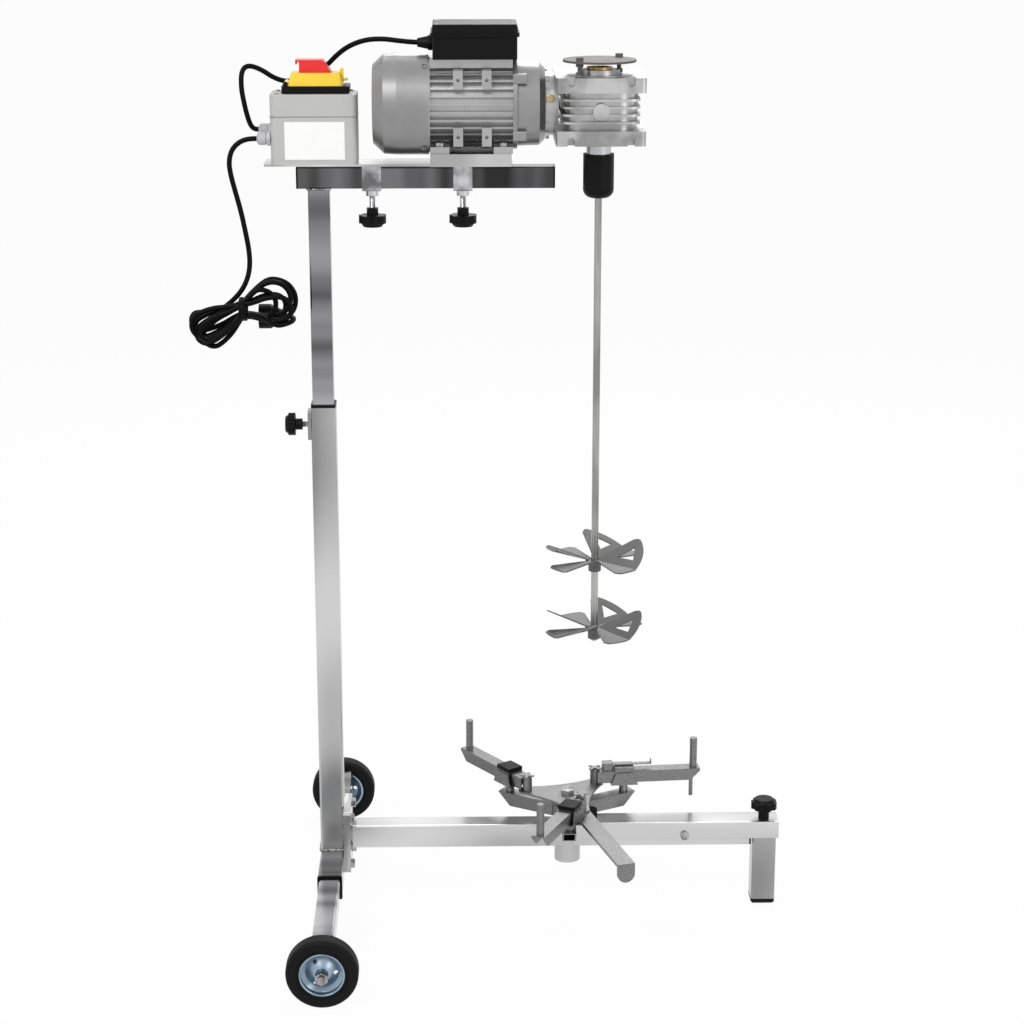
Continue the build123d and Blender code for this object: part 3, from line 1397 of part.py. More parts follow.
# Guides: trapezoid brackets with a black insert, which swivel on the spider's pivot screws
insert_inner = grip_width + guide_play
guide_inner = insert_inner + 2 * insert_sheet


def make_guide(name):
    heading = clamp_angles[name] + swing
    qx, qy = polar(post_radius, clamp_angles[name])
    base = along_z(boss_x + qx, qy, guide_floor, heading)
    side_view = Plane(origin=base.origin, x_dir=base.x_dir, z_dir=-base.y_dir)
    bracket_high = 19
    outer = guide_inner + 2 * guide_sheet
    insert_low = grip_low - guide_floor + 3
    insert_high = grip_low + grip_height + free_gap - guide_floor
    with BuildPart() as guide:
        with BuildSketch(side_view.offset(-outer / 2 - guide_offset)):
            with BuildLine():
                Polyline((-guide_length / 2, 0), (guide_length / 2, 0), (guide_top_length / 2, bracket_high),
                         (-guide_top_length / 2, bracket_high), close=True)
            make_face()
        extrude(amount=outer)
        with BuildSketch(base.offset(guide_sheet)):
            with Locations((0, guide_offset)):
                Rectangle(guide_length + 4, guide_inner)
        extrude(amount=bracket_high, mode=Mode.SUBTRACT)
        with BuildSketch(base.offset(spider_high + free_gap - guide_floor)):
            Circle(sleeve_dia / 2)
        extrude(amount=guide_floor - spider_high - free_gap)
        with BuildSketch(base.offset(spider_high - guide_floor)):
            Circle(sleeve_bore_r)
        extrude(amount=cam_high + 1 - spider_high, mode=Mode.SUBTRACT)
        with BuildSketch(base.offset(insert_low)):
            with Locations((0, guide_offset)):
                Rectangle(insert_length, guide_inner)
                Rectangle(insert_length, insert_inner, mode=Mode.SUBTRACT)
        extrude(amount=insert_high - insert_low)
        with BuildSketch(base.offset(insert_high)):
            with Locations((0, guide_offset)):
                Rectangle(insert_length, guide_inner)
        extrude(amount=insert_height)
    return guide


for name in clamp_angles:
    finish(make_grip(name), f"{name}_grip_arm")
    finish(make_guide(name), f"{name}_guide")
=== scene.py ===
"""Looks of a honey stirrer: a geared stirring motor on a wheeled stand, with a bucket clamp."""

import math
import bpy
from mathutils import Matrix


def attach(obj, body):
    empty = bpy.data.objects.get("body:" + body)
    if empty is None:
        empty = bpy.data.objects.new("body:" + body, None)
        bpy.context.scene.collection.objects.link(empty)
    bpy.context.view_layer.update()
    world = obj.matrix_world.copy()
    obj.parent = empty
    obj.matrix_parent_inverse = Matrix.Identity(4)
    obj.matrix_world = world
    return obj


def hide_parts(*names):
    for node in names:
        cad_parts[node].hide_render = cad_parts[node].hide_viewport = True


bl_info = {
    "name": "Honey stirrer",
    "version": (1, 0, 0),
    "blender": (4, 5, 0),
    "location": "View3D > Sidebar > Stirrer",
    "description": "Finishes, cords and small fittings of a honey stirrer on its stand",
    "category": "Object",
}

import bmesh
import bpy
from mathutils import Matrix, Vector

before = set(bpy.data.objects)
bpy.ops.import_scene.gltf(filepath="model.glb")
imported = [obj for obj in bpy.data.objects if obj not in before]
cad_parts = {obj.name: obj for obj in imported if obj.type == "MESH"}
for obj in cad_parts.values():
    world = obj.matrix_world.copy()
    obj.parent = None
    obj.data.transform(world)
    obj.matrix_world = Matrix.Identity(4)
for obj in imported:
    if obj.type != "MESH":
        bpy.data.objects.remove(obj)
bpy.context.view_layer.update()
MM = 0.001

# The mast axis stands at this X, as in the solids
MAST_X = -0.28825


def at(x, y, z):
    """A point in metres, from millimetres counted from the mast axis, the middle and the floor."""
    return Vector((MAST_X + x * MM, y * MM, z * MM))


# Materials

def new_material(name, colour, metallic, roughness):
    """A principled material with Object coordinates ready for its patterns."""
    mat = bpy.data.materials.new(name)
    mat.use_nodes = True
    nodes = mat.node_tree.nodes
    shader = nodes["Principled BSDF"]
    shader.inputs["Base Color"].default_value = (*colour, 1)
    shader.inputs["Metallic"].default_value = metallic
    shader.inputs["Roughness"].default_value = roughness
    coords = nodes.new("ShaderNodeTexCoord")
    return mat, nodes, mat.node_tree.links, shader, coords


def add_noise(nodes, links, coords, scale, stretch=(1, 1, 1), detail=3.0, roughness=0.55):
    """A noise pattern on Object coordinates, stretched along an axis where the finish has a grain."""
    mapping = nodes.new("ShaderNodeMapping")
    mapping.inputs["Scale"].default_value = stretch
    links.new(coords.outputs["Object"], mapping.inputs["Vector"])
    noise = nodes.new("ShaderNodeTexNoise")
    noise.inputs["Scale"].default_value = scale
    noise.inputs["Detail"].default_value = detail
    noise.inputs["Roughness"].default_value = roughness
    links.new(mapping.outputs["Vector"], noise.inputs["Vector"])
    return noise


def vary_colour(nodes, links, shader, noise, dark, light, edge=0.18):
    """Run the base colour between two tones along a noise pattern."""
    ramp = nodes.new("ShaderNodeValToRGB")
    ramp.color_ramp.elements[0].position = 0.5 - edge
    ramp.color_ramp.elements[1].position = 0.5 + edge
    ramp.color_ramp.elements[0].color = (*dark, 1)
    ramp.color_ramp.elements[1].color = (*light, 1)
    links.new(noise.outputs["Fac"], ramp.inputs["Fac"])
    links.new(ramp.outputs["Color"], shader.inputs["Base Color"])


def vary_roughness(nodes, links, shader, noise, low, high):
    """Run the roughness between two values along a noise pattern."""
    span = nodes.new("ShaderNodeMapRange")
    span.inputs["From Min"].default_value = 0.3
    span.inputs["From Max"].default_value = 0.7
    span.inputs["To Min"].default_value = low
    span.inputs["To Max"].default_value = high
    links.new(noise.outputs["Fac"], span.inputs["Value"])
    links.new(span.outputs["Result"], shader.inputs["Roughness"])


def add_bump(nodes, links, shader, noise, strength, distance):
    """Raise the surface a little along a noise pattern."""
    bump = nodes.new("ShaderNodeBump")
    bump.inputs["Strength"].default_value = strength
    bump.inputs["Distance"].default_value = distance
    links.new(noise.outputs["Fac"], bump.inputs["Height"])
    links.new(bump.outputs["Normal"], shader.inputs["Normal"])


def tone(colour, factor):
    return tuple(min(1.0, c * factor) for c in colour)


def metal(name, colour, rough, grain=(1, 1, 1), spread=0.08, fine=420.0, bump=0.04, cloud=22.0, mottle_and_reflection_stretch=(1, 1, 1),
          dark=0.80, light=1.12, edge=0.12):
    """A bare or plated metal: mottled tone, uneven gloss and a fine grain; on the bright plate the tone is stretched
    into bands of painted reflection along each tube.
    """
    mat, nodes, links, shader, coords = new_material(name, colour, 1.0, rough)
    # Large noise for the tone: random mottle, and where it is stretched to vary only along a tube, as on the bright
    # plate, painted reflection bands
    mottle_and_painted_reflection = add_noise(nodes, links, coords, cloud, mottle_and_reflection_stretch, detail=2.0)
    grainy = add_noise(nodes, links, coords, fine, grain)
    vary_colour(nodes, links, shader, mottle_and_painted_reflection, tone(colour, dark), tone(colour, light), edge)
    vary_roughness(nodes, links, shader, mottle_and_painted_reflection, rough - spread, rough + spread)
    add_bump(nodes, links, shader, grainy, bump, 0.0004)
    return mat


def paint(name, colour, metallic, rough, peel=260.0, bump=0.12):
    """A sprayed coat with a little orange peel."""
    mat, nodes, links, shader, coords = new_material(name, colour, metallic, rough)
    cloud = add_noise(nodes, links, coords, 14.0)
    peeled = add_noise(nodes, links, coords, peel)
    vary_colour(nodes, links, shader, cloud, tone(colour, 0.88), tone(colour, 1.08))
    vary_roughness(nodes, links, shader, peeled, rough - 0.05, rough + 0.06)
    add_bump(nodes, links, shader, peeled, bump, 0.0004)
    return mat


def plastic(name, colour, rough, grain=900.0, bump=0.15, mottle=0.05, gloss=0.5):
    """A moulded plastic with a fine spark-eroded grain."""
    mat, nodes, links, shader, coords = new_material(name, colour, 0.0, rough)
    shader.inputs["Specular IOR Level"].default_value = gloss
    cloud = add_noise(nodes, links, coords, 30.0)
    fine = add_noise(nodes, links, coords, grain)
    vary_colour(nodes, links, shader, cloud, tone(colour, 1 - mottle), tone(colour, 1 + mottle))
    vary_roughness(nodes, links, shader, fine, rough - 0.06, rough + 0.08)
    add_bump(nodes, links, shader, fine, bump, 0.0003)
    return mat


def make_materials(look):
    """Every finish of the stirrer, by name."""
    plated = tuple(look.plated)
    return {
        "zinc": metal("zinc_plate", plated, 0.24, (1, 1, 0.15), cloud=7.0, mottle_and_reflection_stretch=(1, 1, 0.3), dark=0.62, light=1.55),
        "zinc_along": metal("zinc_plate_along", tone(plated, 1.25), 0.22, (0.1, 1, 1), cloud=7.0, mottle_and_reflection_stretch=(0.3, 1, 1),
                            dark=0.75, light=1.35),
        # The three bright plates are copies of one plating, each with its own base tone and with painted reflection:
        # light and dark bands that run along its tube
        "chrome_painted_reflection_up": metal("bright_plate_painted_reflection_up", (0.13, 0.13, 0.135), 0.14, (1, 1, 0.1), cloud=11.0,
                           mottle_and_reflection_stretch=(0.02, 0.02, 1), dark=0.35, light=3.2, edge=0.14),
        "chrome_painted_reflection_along": metal("bright_plate_painted_reflection_along", (0.09, 0.09, 0.093), 0.14, (0.1, 1, 1), cloud=14.0,
                              mottle_and_reflection_stretch=(1, 0.02, 0.02), dark=0.35, light=2.0),
        "chrome_painted_reflection_across": metal("bright_plate_painted_reflection_across", (0.30, 0.30, 0.31), 0.14, (1, 0.1, 1), cloud=14.0,
                               mottle_and_reflection_stretch=(0.02, 1, 0.3), dark=0.30, light=1.9),
        "collar": metal("collar_zinc", (0.36, 0.36, 0.37), 0.20, cloud=34.0, dark=0.45, light=1.7, edge=0.12),
        "clamp": metal("clamp_plate_zinc", tone(plated, 0.50), 0.36, cloud=420.0, dark=0.84, light=1.14),
        "sheet": paint("stainless_sheet", (0.13, 0.13, 0.13), 0.45, 0.42),
        "bright": metal("bright_steel", (0.50, 0.51, 0.52), 0.20),
        "taupe": paint("guard_steel", (0.10, 0.094, 0.088), 0.0, 0.62),
        "rim": metal("rim_zinc", (0.30, 0.38, 0.46), 0.30),
        "stainless": metal("stainless", (0.36, 0.36, 0.355), 0.26, (1, 1, 0.1), cloud=60.0, mottle_and_reflection_stretch=(1, 1, 0.1),
                           dark=0.72, light=1.30),
        "bronze": metal("wheel_bronze", (0.42, 0.29, 0.13), 0.35),
        "motor": paint("motor_paint", tuple(look.motor), 0.85, 0.34),
        "stator": paint("stator_paint", tone(tuple(look.motor), 1.35), 0.9, 0.30),
        "alloy": metal("cast_alloy", (0.44, 0.44, 0.44), 0.34, fine=240.0, bump=0.25, dark=0.70, light=1.20),
        "black": plastic("black_moulded", (0.003, 0.003, 0.0035), 0.42, gloss=0.12),
        "box": plastic("box_shell", tuple(look.box), 0.52, mottle=0.02),
        "pale": plastic("pale_gland", (0.46, 0.46, 0.47), 0.45, mottle=0.03),
        "yellow": plastic("yellow_cover", tuple(look.cover), 0.34, bump=0.06),
        "red": plastic("red_button", tuple(look.stop), 0.32, bump=0.06),
        "green": plastic("green_button", (0.02, 0.22, 0.07), 0.34),
        "tyre": plastic("tyre_rubber", (0.004, 0.004, 0.0045), 0.60, grain=500.0, bump=0.3, gloss=0.15),
        "jacket": plastic("cord_jacket", (0.0015, 0.0015, 0.002), 0.44, grain=700.0, bump=0.08, gloss=0.08),
        "label": plastic("blank_label", (0.88, 0.88, 0.87), 0.38, bump=0.03, mottle=0.012),
        "seam": plastic("box_seam", (0.16, 0.16, 0.155), 0.6),
        "weld": metal("weld_bead", (0.30, 0.29, 0.28), 0.30, cloud=160.0, dark=0.45, light=1.30, bump=0.3),
        "screw": metal("screw_steel", (0.36, 0.36, 0.36), 0.26, cloud=90.0, dark=0.60, light=1.30),
        "brass": metal("plug_brass", (0.52, 0.40, 0.20), 0.30),
    }


FINISH_OF_NODE = {
    "zinc": ("mast_outer", "mast_flange", "carriage_plate", "clamp_boss", "foot_post"),
    # The mast, arm, sleeve and axle take the bright plates with their painted reflection bands
    "chrome_painted_reflection_up": ("mast_inner",),
    "chrome_painted_reflection_along": ("arm_tube",),
    "chrome_painted_reflection_across": ("cross_sleeve", "axle_tube"),
    "collar": ("carriage_collars",),
    "clamp": ("spider_arms", "clamp_plate", "right_grip_arm", "left_grip_arm", "front_grip_arm", "right_guide",
              "left_guide", "front_guide"),
    "screw": ("frame_bolts", "pivot_screws"),
    "zinc_along": ("base_beam", "outer_beam", "foot_channel"),
    "rim": ("front_rim", "rear_rim"),
    "tyre": ("front_tyre", "rear_tyre"),
    "stainless": ("stir_shaft",),
    "bright": ("motor_rotor", "chuck_body"),
    "taupe": ("guard_disc",),
    "bronze": ("worm_wheel",),
    "motor": ("motor_cowl", "motor_end_shield"),
    "stator": ("motor_housing",),
    "alloy": ("gearbox_housing", "gearbox_covers"),
    "black": ("frame_liners", "channel_knob", "foot_plug", "foot_knob", "arm_caps", "mast_knob",
              "left_collar_knob", "right_collar_knob", "terminal_box", "terminal_lid", "chuck_sleeve",
              "switch_plate"),
    "box": ("control_box", "control_lid"),
    "pale": ("cable_glands",),
    "jacket": ("mains_plug",),
    "yellow": ("stop_cover",),
    "red": ("stop_button",),
    "green": ("start_button",),
}
materials = {}


def material(key):
    if not materials:
        materials.update(make_materials(bpy.context.scene.stirrer_look))
    return materials[key]


def piece_from(bm, name, finish, body, smooth=True):
    """Turn a bmesh into a finished piece that rides on a body."""
    bmesh.ops.recalc_face_normals(bm, faces=bm.faces)
    mesh = bpy.data.meshes.new(name)
    bm.to_mesh(mesh)
    bm.free()
    for polygon in mesh.polygons:
        polygon.use_smooth = smooth
    obj = bpy.data.objects.new(name, mesh)
    bpy.context.scene.collection.objects.link(obj)
    mesh.materials.append(material(finish))
    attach(obj, body)
    return obj


def facing(origin, axis):
    """Placing matrix that stands a form's Z along an axis at a point."""
    turn = Vector((0, 0, 1)).rotation_difference(Vector(axis)).to_matrix().to_4x4()
    return Matrix.Translation(at(*origin)) @ turn


def add_turned(bm, origin, axis, profile, steps=32):
    """Spin a profile of (radius, height) pairs in millimetres about an axis."""
    verts = [bm.verts.new((r * MM, 0, h * MM)) for r, h in profile]
    edges = [bm.edges.new(pair) for pair in zip(verts, verts[1:])]
    bmesh.ops.spin(bm, geom=verts + edges, axis=(0, 0, 1), cent=(0, 0, 0), angle=2 * math.pi, steps=steps,
                   use_merge=True)
    reached = set(verts)
    front = list(verts)
    while front:
        for edge in front.pop().link_edges:
            for vert in edge.verts:
                if vert not in reached:
                    reached.add(vert)
                    front.append(vert)
    new = [v for v in reached if v.is_valid]
    bmesh.ops.remove_doubles(bm, verts=new, dist=1e-6)
    new = [v for v in new if v.is_valid]
    bmesh.ops.transform(bm, matrix=facing(origin, axis), verts=new)


def add_hexagon(bm, origin, axis, flats, height, soften=0.5):
    """A hexagon head with its edges broken."""
    made = bmesh.ops.create_cone(bm, cap_ends=True, segments=6, radius1=flats / math.sqrt(3) * MM,
                                 radius2=flats / math.sqrt(3) * MM, depth=height * MM,
                                 matrix=facing(origin, axis) @ Matrix.Translation((0, 0, height / 2 * MM)))
    edges = {edge for vert in made["verts"] for edge in vert.link_edges}
    bmesh.ops.bevel(bm, geom=list(edges), offset=soften * MM, affect="EDGES", segments=2, profile=0.5, material=-1)


def add_soft_cube(bm, matrix, soften):
    """A unit cube placed and sized by a matrix, with its edges broken."""
    made = bmesh.ops.create_cube(bm, size=1, matrix=matrix)
    edges = {edge for vert in made["verts"] for edge in vert.link_edges}
    bmesh.ops.bevel(bm, geom=list(edges), offset=soften * MM, affect="EDGES", segments=3, profile=0.5, material=-1)


def add_block(bm, low, high, soften=0.5):
    """A block between two corners with its edges broken."""
    size = [(h - l) * MM for l, h in zip(low, high)]
    middle = at(*[(l + h) / 2 for l, h in zip(low, high)])
    add_soft_cube(bm, Matrix.Translation(middle) @ Matrix.Diagonal((*size, 1)), soften)


def add_cap_screw(bm, origin, axis, dia, height):
    """A round screw head with a recessed drive."""
    r = dia / 2
    add_turned(bm, origin, axis, ((0.01, height * 0.45), (r * 0.42, height * 0.45), (r * 0.48, height),
                                  (r * 0.86, height), (r, height * 0.8), (r, 0)), 24)


def weld_bead(name, points, radius, body, closed=True):
    """A rippled weld along a run of points."""
    curve = bpy.data.curves.new(name, "CURVE")
    curve.dimensions = "3D"
    curve.bevel_depth = radius * MM
    curve.bevel_resolution = 2
    curve.resolution_u = 4
    spline = curve.splines.new("POLY")
    spline.points.add(len(points) - 1)
    for i, (point, place) in enumerate(zip(spline.points, points)):
        point.co = (*at(*place), 1)
        point.radius = 1.0 + 0.22 * math.sin(i * 2.1)
    spline.use_cyclic_u = closed
    obj = bpy.data.objects.new(name, curve)
    bpy.context.scene.collection.objects.link(obj)
    curve.materials.append(material("weld"))
    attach(obj, body)
    return obj


def along_loop(corners, step=3.0):
    """Points at an even step round a closed loop of corners."""
    points = []
    for a, b in zip(corners, corners[1:] + corners[:1]):
        a, b = Vector(a), Vector(b)
        count = max(1, round((b - a).length / step))
        points += [tuple(a.lerp(b, i / count)) for i in range(count)]
    return points


# Diameter of both cords in metres, and their routes in millimetres as at() takes them
CORD_DIA = 0.007

MOTOR_ROUTE = (
    (-63, 17, 1150.1), (-84, 17, 1150), (-92, 17, 1154), (-97, 17.5, 1168), (-101, 18.5, 1186), (-105, 22, 1208),
    (-104, 26, 1230), (-95, 30, 1237), (-78, 33, 1231), (-58, 35.5, 1217), (-38, 37, 1213), (-12, 37, 1221),
    (10, 35, 1233), (26, 30, 1250), (43, 24, 1263), (66, 16, 1272), (90, 9, 1274), (113, 3, 1271.5),
    (135, 0, 1269.6), (158, 0, 1269.6),
)
MAINS_ROUTE = (
    (-63, -20, 1143.1), (-84, -20, 1143), (-97, -20, 1142), (-108, -21, 1137), (-117, -23, 1127),
    (-120.5, -25.5, 1111), (-118, -28, 1094), (-113, -31, 1075), (-105, -35, 1046), (-99, -39, 1016),
    (-95, -42, 994), (-94, -44.5, 974), (-97, -48, 957), (-104, -52, 942), (-115, -53, 929),
    (-128, -53, 918), (-142, -53, 908),
)

# The hank: two lobes on either side of its tie, given by heading, length and half width.
# Each turn has its own size, tilt and width in each lobe, and its own layer from back to front.
TIE = (-103, 917)
WAIST = 8
BACK_LAYER = -52
LAYER = -5.7
RIGHT_LOBE = (12, 72, 29)
LEFT_LOBE = (211, 76, 19)
LEFT_TURNS = ((1.00, -13, 0.74), (0.97, -5, 0.74), (1.00, 3, 0.74), (0.92, 11, 0.82), (0.98, -9, 0.98),
              (0.88, 1, 0.76))
RIGHT_TURNS = ((1.00, 1, 1.00), (0.80, -7, 0.66), (0.93, 6, 0.86), (0.64, 5, 1.05), (0.92, -10, 0.62),
               (0.70, -3, 0.60))
FOLD_STEPS = (78, 39, 0, -39, -78)
PLUG_END = ((-58, -82, 896), (-46, -81, 898), (-36, -70, 900), (-35, -52, 901), (-42, -40, 901), (-50, -38, 901),
            (-58, -38, 901))

# The tie round the hank's waist: left edge, width, middle Y, half depth, half height and wall
TIE_LEFT = TIE[0] - 5
TIE_WIDTH = 10
TIE_MIDDLE = -67.5
TIE_HALF_DEPTH = 19.5
TIE_HALF_HEIGHT = 14.5
TIE_WALL = 1.6
TIE_STEPS = 40


def lobe_points(shape, size, tilt, width, start_y, end_y):
    """Points once round a lobe of the hank: out from the tie, round the fold and back."""
    heading, length, half_width = shape
    turn = math.radians(heading + tilt)
    ahead = Vector((math.cos(turn), math.sin(turn)))
    aside = Vector((-ahead.y, ahead.x))
    long, wide = length * size, half_width * size * width
    fold = long - wide
    path = [(0.22 * long, -0.62 * wide), (0.50 * long, -wide)]
    path += [(fold + wide * 1.06 * math.cos(math.radians(step)), -wide * 1.06 * math.sin(math.radians(step)))
             for step in FOLD_STEPS]
    path += [(0.50 * long, wide), (0.22 * long, 0.62 * wide)]
    points = []
    for i, (out, side) in enumerate(path):
        place = Vector(TIE) + ahead * out + aside * side
        points.append((place.x, start_y + (end_y - start_y) * i / (len(path) - 1), place.y))
    return points


def hank_points():
    """Turns through both lobes, from the back layer to the front, and on into the plug."""
    points = []
    last = len(LEFT_TURNS) - 1
    for turn, (left, right) in enumerate(zip(LEFT_TURNS, RIGHT_TURNS)):
        here = BACK_LAYER + turn * LAYER
        lobe = lobe_points(LEFT_LOBE, *left, here, here)
        points += lobe[2:] if turn == 0 else lobe
        points.append((TIE[0], here, TIE[1] - WAIST))
        if turn < last:
            points += lobe_points(RIGHT_LOBE, *right, here, here + LAYER)
            points.append((TIE[0], here + LAYER, TIE[1] + WAIST))
        else:
            points += lobe_points(RIGHT_LOBE, *right, here, here)[:2]
    return points + list(PLUG_END)


def cord_curve(name, points, diameter):
    """A round cord on one smooth curve through a list of points."""
    curve = bpy.data.curves.new(name, "CURVE")
    curve.dimensions = "3D"
    curve.bevel_depth = diameter / 2
    curve.bevel_resolution = 6
    curve.resolution_u = 6
    curve.use_fill_caps = True
    spline = curve.splines.new("NURBS")
    spline.points.add(len(points) - 1)
    for point, place in zip(spline.points, points):
        point.co = (*place, 1)
    spline.order_u = 3
    spline.use_endpoint_u = True
    obj = bpy.data.objects.new(name, curve)
    bpy.context.scene.collection.objects.link(obj)
    curve.materials.append(material("jacket"))
    return obj


class StirrerLook(bpy.types.PropertyGroup):
    """Colours of the stirrer's finishes"""

    plated: bpy.props.FloatVectorProperty(
        name="Plated tube", description="Tone of the plated tubes and sheet", subtype="COLOR",
        default=(0.44, 0.44, 0.44), min=0, max=1)
    motor: bpy.props.FloatVectorProperty(
        name="Motor paint", description="Tone of the motor's silver-grey coat", subtype="COLOR",
        default=(0.30, 0.30, 0.30), min=0, max=1)
    box: bpy.props.FloatVectorProperty(
        name="Control box", description="Tone of the control box", subtype="COLOR",
        default=(0.47, 0.47, 0.455), min=0, max=1)
    cover: bpy.props.FloatVectorProperty(
        name="Stop cover", description="Tone of the hinged stop cover", subtype="COLOR",
        default=(0.85, 0.58, 0.02), min=0, max=1)
    stop: bpy.props.FloatVectorProperty(
        name="Stop button", description="Tone of the stop button", subtype="COLOR",
        default=(0.72, 0.02, 0.02), min=0, max=1)


class STIRRER_OT_finishes(bpy.types.Operator):
    """Give each solid its finish"""

    bl_idname = "stirrer.finishes"
    bl_label = "Finish the solids"

    def execute(self, context):
        for finish, nodes in FINISH_OF_NODE.items():
            for node in nodes:
                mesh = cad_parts[node].data
                mesh.materials.clear()
                mesh.materials.append(material(finish))
        return {"FINISHED"}


class STIRRER_OT_motor_lead(bpy.types.Operator):
    """Lay the lead from the control box to the motor's terminal box"""

    bl_idname = "stirrer.motor_lead"
    bl_label = "Motor lead"

    def execute(self, context):
        points = [at(*place) for place in MOTOR_ROUTE]
        lead = cord_curve("motor_cord", points, CORD_DIA)
        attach(lead, "carriage")
        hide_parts("motor_lead")
        return {"FINISHED"}


class STIRRER_OT_mains_lead(bpy.types.Operator):
    """Lay the mains lead down to its tied hank and into the plug"""

    bl_idname = "stirrer.mains_lead"
    bl_label = "Mains lead and hank"

    def execute(self, context):
        points = [at(*place) for place in (*MAINS_ROUTE, *hank_points())]
        lead = cord_curve("mains_cord", points, CORD_DIA)
        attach(lead, "carriage")
        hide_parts("mains_lead", "mains_hank")
        bm = bmesh.new()
        ring = [bm.verts.new(at(TIE_LEFT, TIE_MIDDLE + TIE_HALF_DEPTH * math.cos(a),
                                TIE[1] + TIE_HALF_HEIGHT * math.sin(a)))
                for a in (i * math.tau / TIE_STEPS for i in range(TIE_STEPS))]
        edges = [bm.edges.new(pair) for pair in zip(ring, ring[1:] + ring[:1])]
        wide = bmesh.ops.extrude_edge_only(bm, edges=edges)
        moved = [item for item in wide["geom"] if isinstance(item, bmesh.types.BMVert)]
        bmesh.ops.translate(bm, vec=(TIE_WIDTH * MM, 0, 0), verts=moved)
        bmesh.ops.solidify(bm, geom=list(bm.faces), thickness=TIE_WALL * MM)
        tie = piece_from(bm, "hank_tie", "jacket", "carriage")
        return {"FINISHED"}


# The control box's side, where its glands stand, their places in Y and Z, and the nut's profile
BOX_SIDE = -63
GLANDS = ((-20, 1143.1), (17, 1150.1))
GLAND_NUT = ((8.0, 0), (8.0, 2), (9.0, 2), (9.0, 10.5), (8.2, 11.5), (6.0, 13.5), (3.6, 14), (3.6, 10))


class STIRRER_OT_glands(bpy.types.Operator):
    """Make the two pale glands of the control box"""

    bl_idname = "stirrer.glands"
    bl_label = "Cable glands"

    def execute(self, context):
        bm = bmesh.new()
        for y, z in GLANDS:
            add_hexagon(bm, (BOX_SIDE, y, z), (-1, 0, 0), 19, 5, 0.8)
            add_turned(bm, (BOX_SIDE - 5, y, z), (-1, 0, 0), GLAND_NUT)
        pale = piece_from(bm, "box_glands", "pale", "carriage", smooth=False)
        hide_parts("cable_glands")
        return {"FINISHED"}


class STIRRER_OT_label(bpy.types.Operator):
    """Put the bare white label on the front of the control box"""

    bl_idname = "stirrer.label"
    bl_label = "Blank label"

    def execute(self, context):
        bm = bmesh.new()
        add_block(bm, (-43.5, -32.35, 1115.5), (38, -31.9, 1166.5), 0.15)
        label = piece_from(bm, "box_label", "label", "carriage", smooth=False)
        return {"FINISHED"}


# Blades of an impeller: where the bend and the end lie, and how far the raised part tilts, in degrees
BLADE_COUNT = 4
BLADE_FLAT = 27
BLADE_SWEEP = 86
BLADE_LIFT = 28
BLADE_INNER = 10
BLADE_OUTER = 72
BLADE_SHEET = 2

# The impellers' heights and first angles, their axis, and the window's corners and hub's profile
IMPELLERS = ((547, 22), (446, 9))
IMPELLER_AT = (382, -50)
WINDOW = ((33, 50), (60, 39), (60, 66))
HUB_DROP = 13
HUB = ((5.1, 0), (8.4, 0), (9, 0.6), (9, 12.8), (13, 12.8), (13, 15.4), (6, 15.4), (5.1, 14.6), (5.1, 0))


def plan(radius, angle):
    """A point in metres in the impeller's own plane."""
    return Vector((radius * math.cos(math.radians(angle)), radius * math.sin(math.radians(angle)), 0)) * MM


def add_sheet(bm, place, outline, window=()):
    """A flat sheet inside an outline, with a window, moved into its place."""
    loops = []
    for ring in (outline, window):
        verts = [bm.verts.new(place @ point) for point in ring]
        loops += [bm.edges.new(pair) for pair in zip(verts, verts[1:] + verts[:1])]
    bmesh.ops.triangle_fill(bm, edges=loops, use_beauty=True, use_dissolve=False)


class STIRRER_OT_impellers(bpy.types.Operator):
    """Bend the two stirring discs: four sectors each, flat at one side and raised with a window at the other"""

    bl_idname = "stirrer.impellers"
    bl_label = "Impellers"

    def execute(self, context):
        bm = bmesh.new()
        for high, first in IMPELLERS:
            place = Matrix.Translation(at(*IMPELLER_AT, high + BLADE_SHEET / 2))
            for index in range(BLADE_COUNT):
                start = first + index * 360 / BLADE_COUNT
                bend = start + BLADE_FLAT
                end = start + BLADE_SWEEP
                lift = Matrix.Rotation(math.radians(BLADE_LIFT), 4, plan(1000, bend))
                flat = [plan(BLADE_INNER, start), plan(66, start)]
                flat += [plan(BLADE_OUTER, start + 5 + (BLADE_FLAT - 5) * i / 4) for i in range(5)]
                add_sheet(bm, place, flat + [plan(BLADE_INNER, bend)])
                raised = [plan(BLADE_INNER, bend)]
                raised += [plan(BLADE_OUTER, bend + (BLADE_SWEEP - BLADE_FLAT - 7) * i / 9) for i in range(10)]
                raised += [plan(70, end - 3), plan(64, end), plan(BLADE_INNER, end)]
                window = [plan(radius, bend + angle - BLADE_FLAT + 4) for radius, angle in WINDOW]
                add_sheet(bm, place @ lift, raised, window)
        bmesh.ops.remove_doubles(bm, verts=bm.verts, dist=0.0001)
        bmesh.ops.solidify(bm, geom=list(bm.faces), thickness=BLADE_SHEET * MM)
        for high, first in IMPELLERS:
            add_turned(bm, (*IMPELLER_AT, high - HUB_DROP), (0, 0, 1), HUB, 40)
            add_cap_screw(bm, (IMPELLER_AT[0], IMPELLER_AT[1] - 8.8, high - 7), (0, -1, 0), 4.5, 1)
        discs = piece_from(bm, "stirring_discs", "sheet", "output", smooth=False)
        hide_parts("impellers")
        return {"FINISHED"}


# The seam line of the control box: its heights, and each side's left, front, right and back
SEAM_LOW = 1172.7
SEAM_HIGH = 1173.6
SEAM_SIDES = (
    (-61, -32.25, 53, -31.5), (-61, 25.5, 53, 26.25), (-63.25, -30, -62.5, 24), (54.5, -30, 55.25, 24),
)


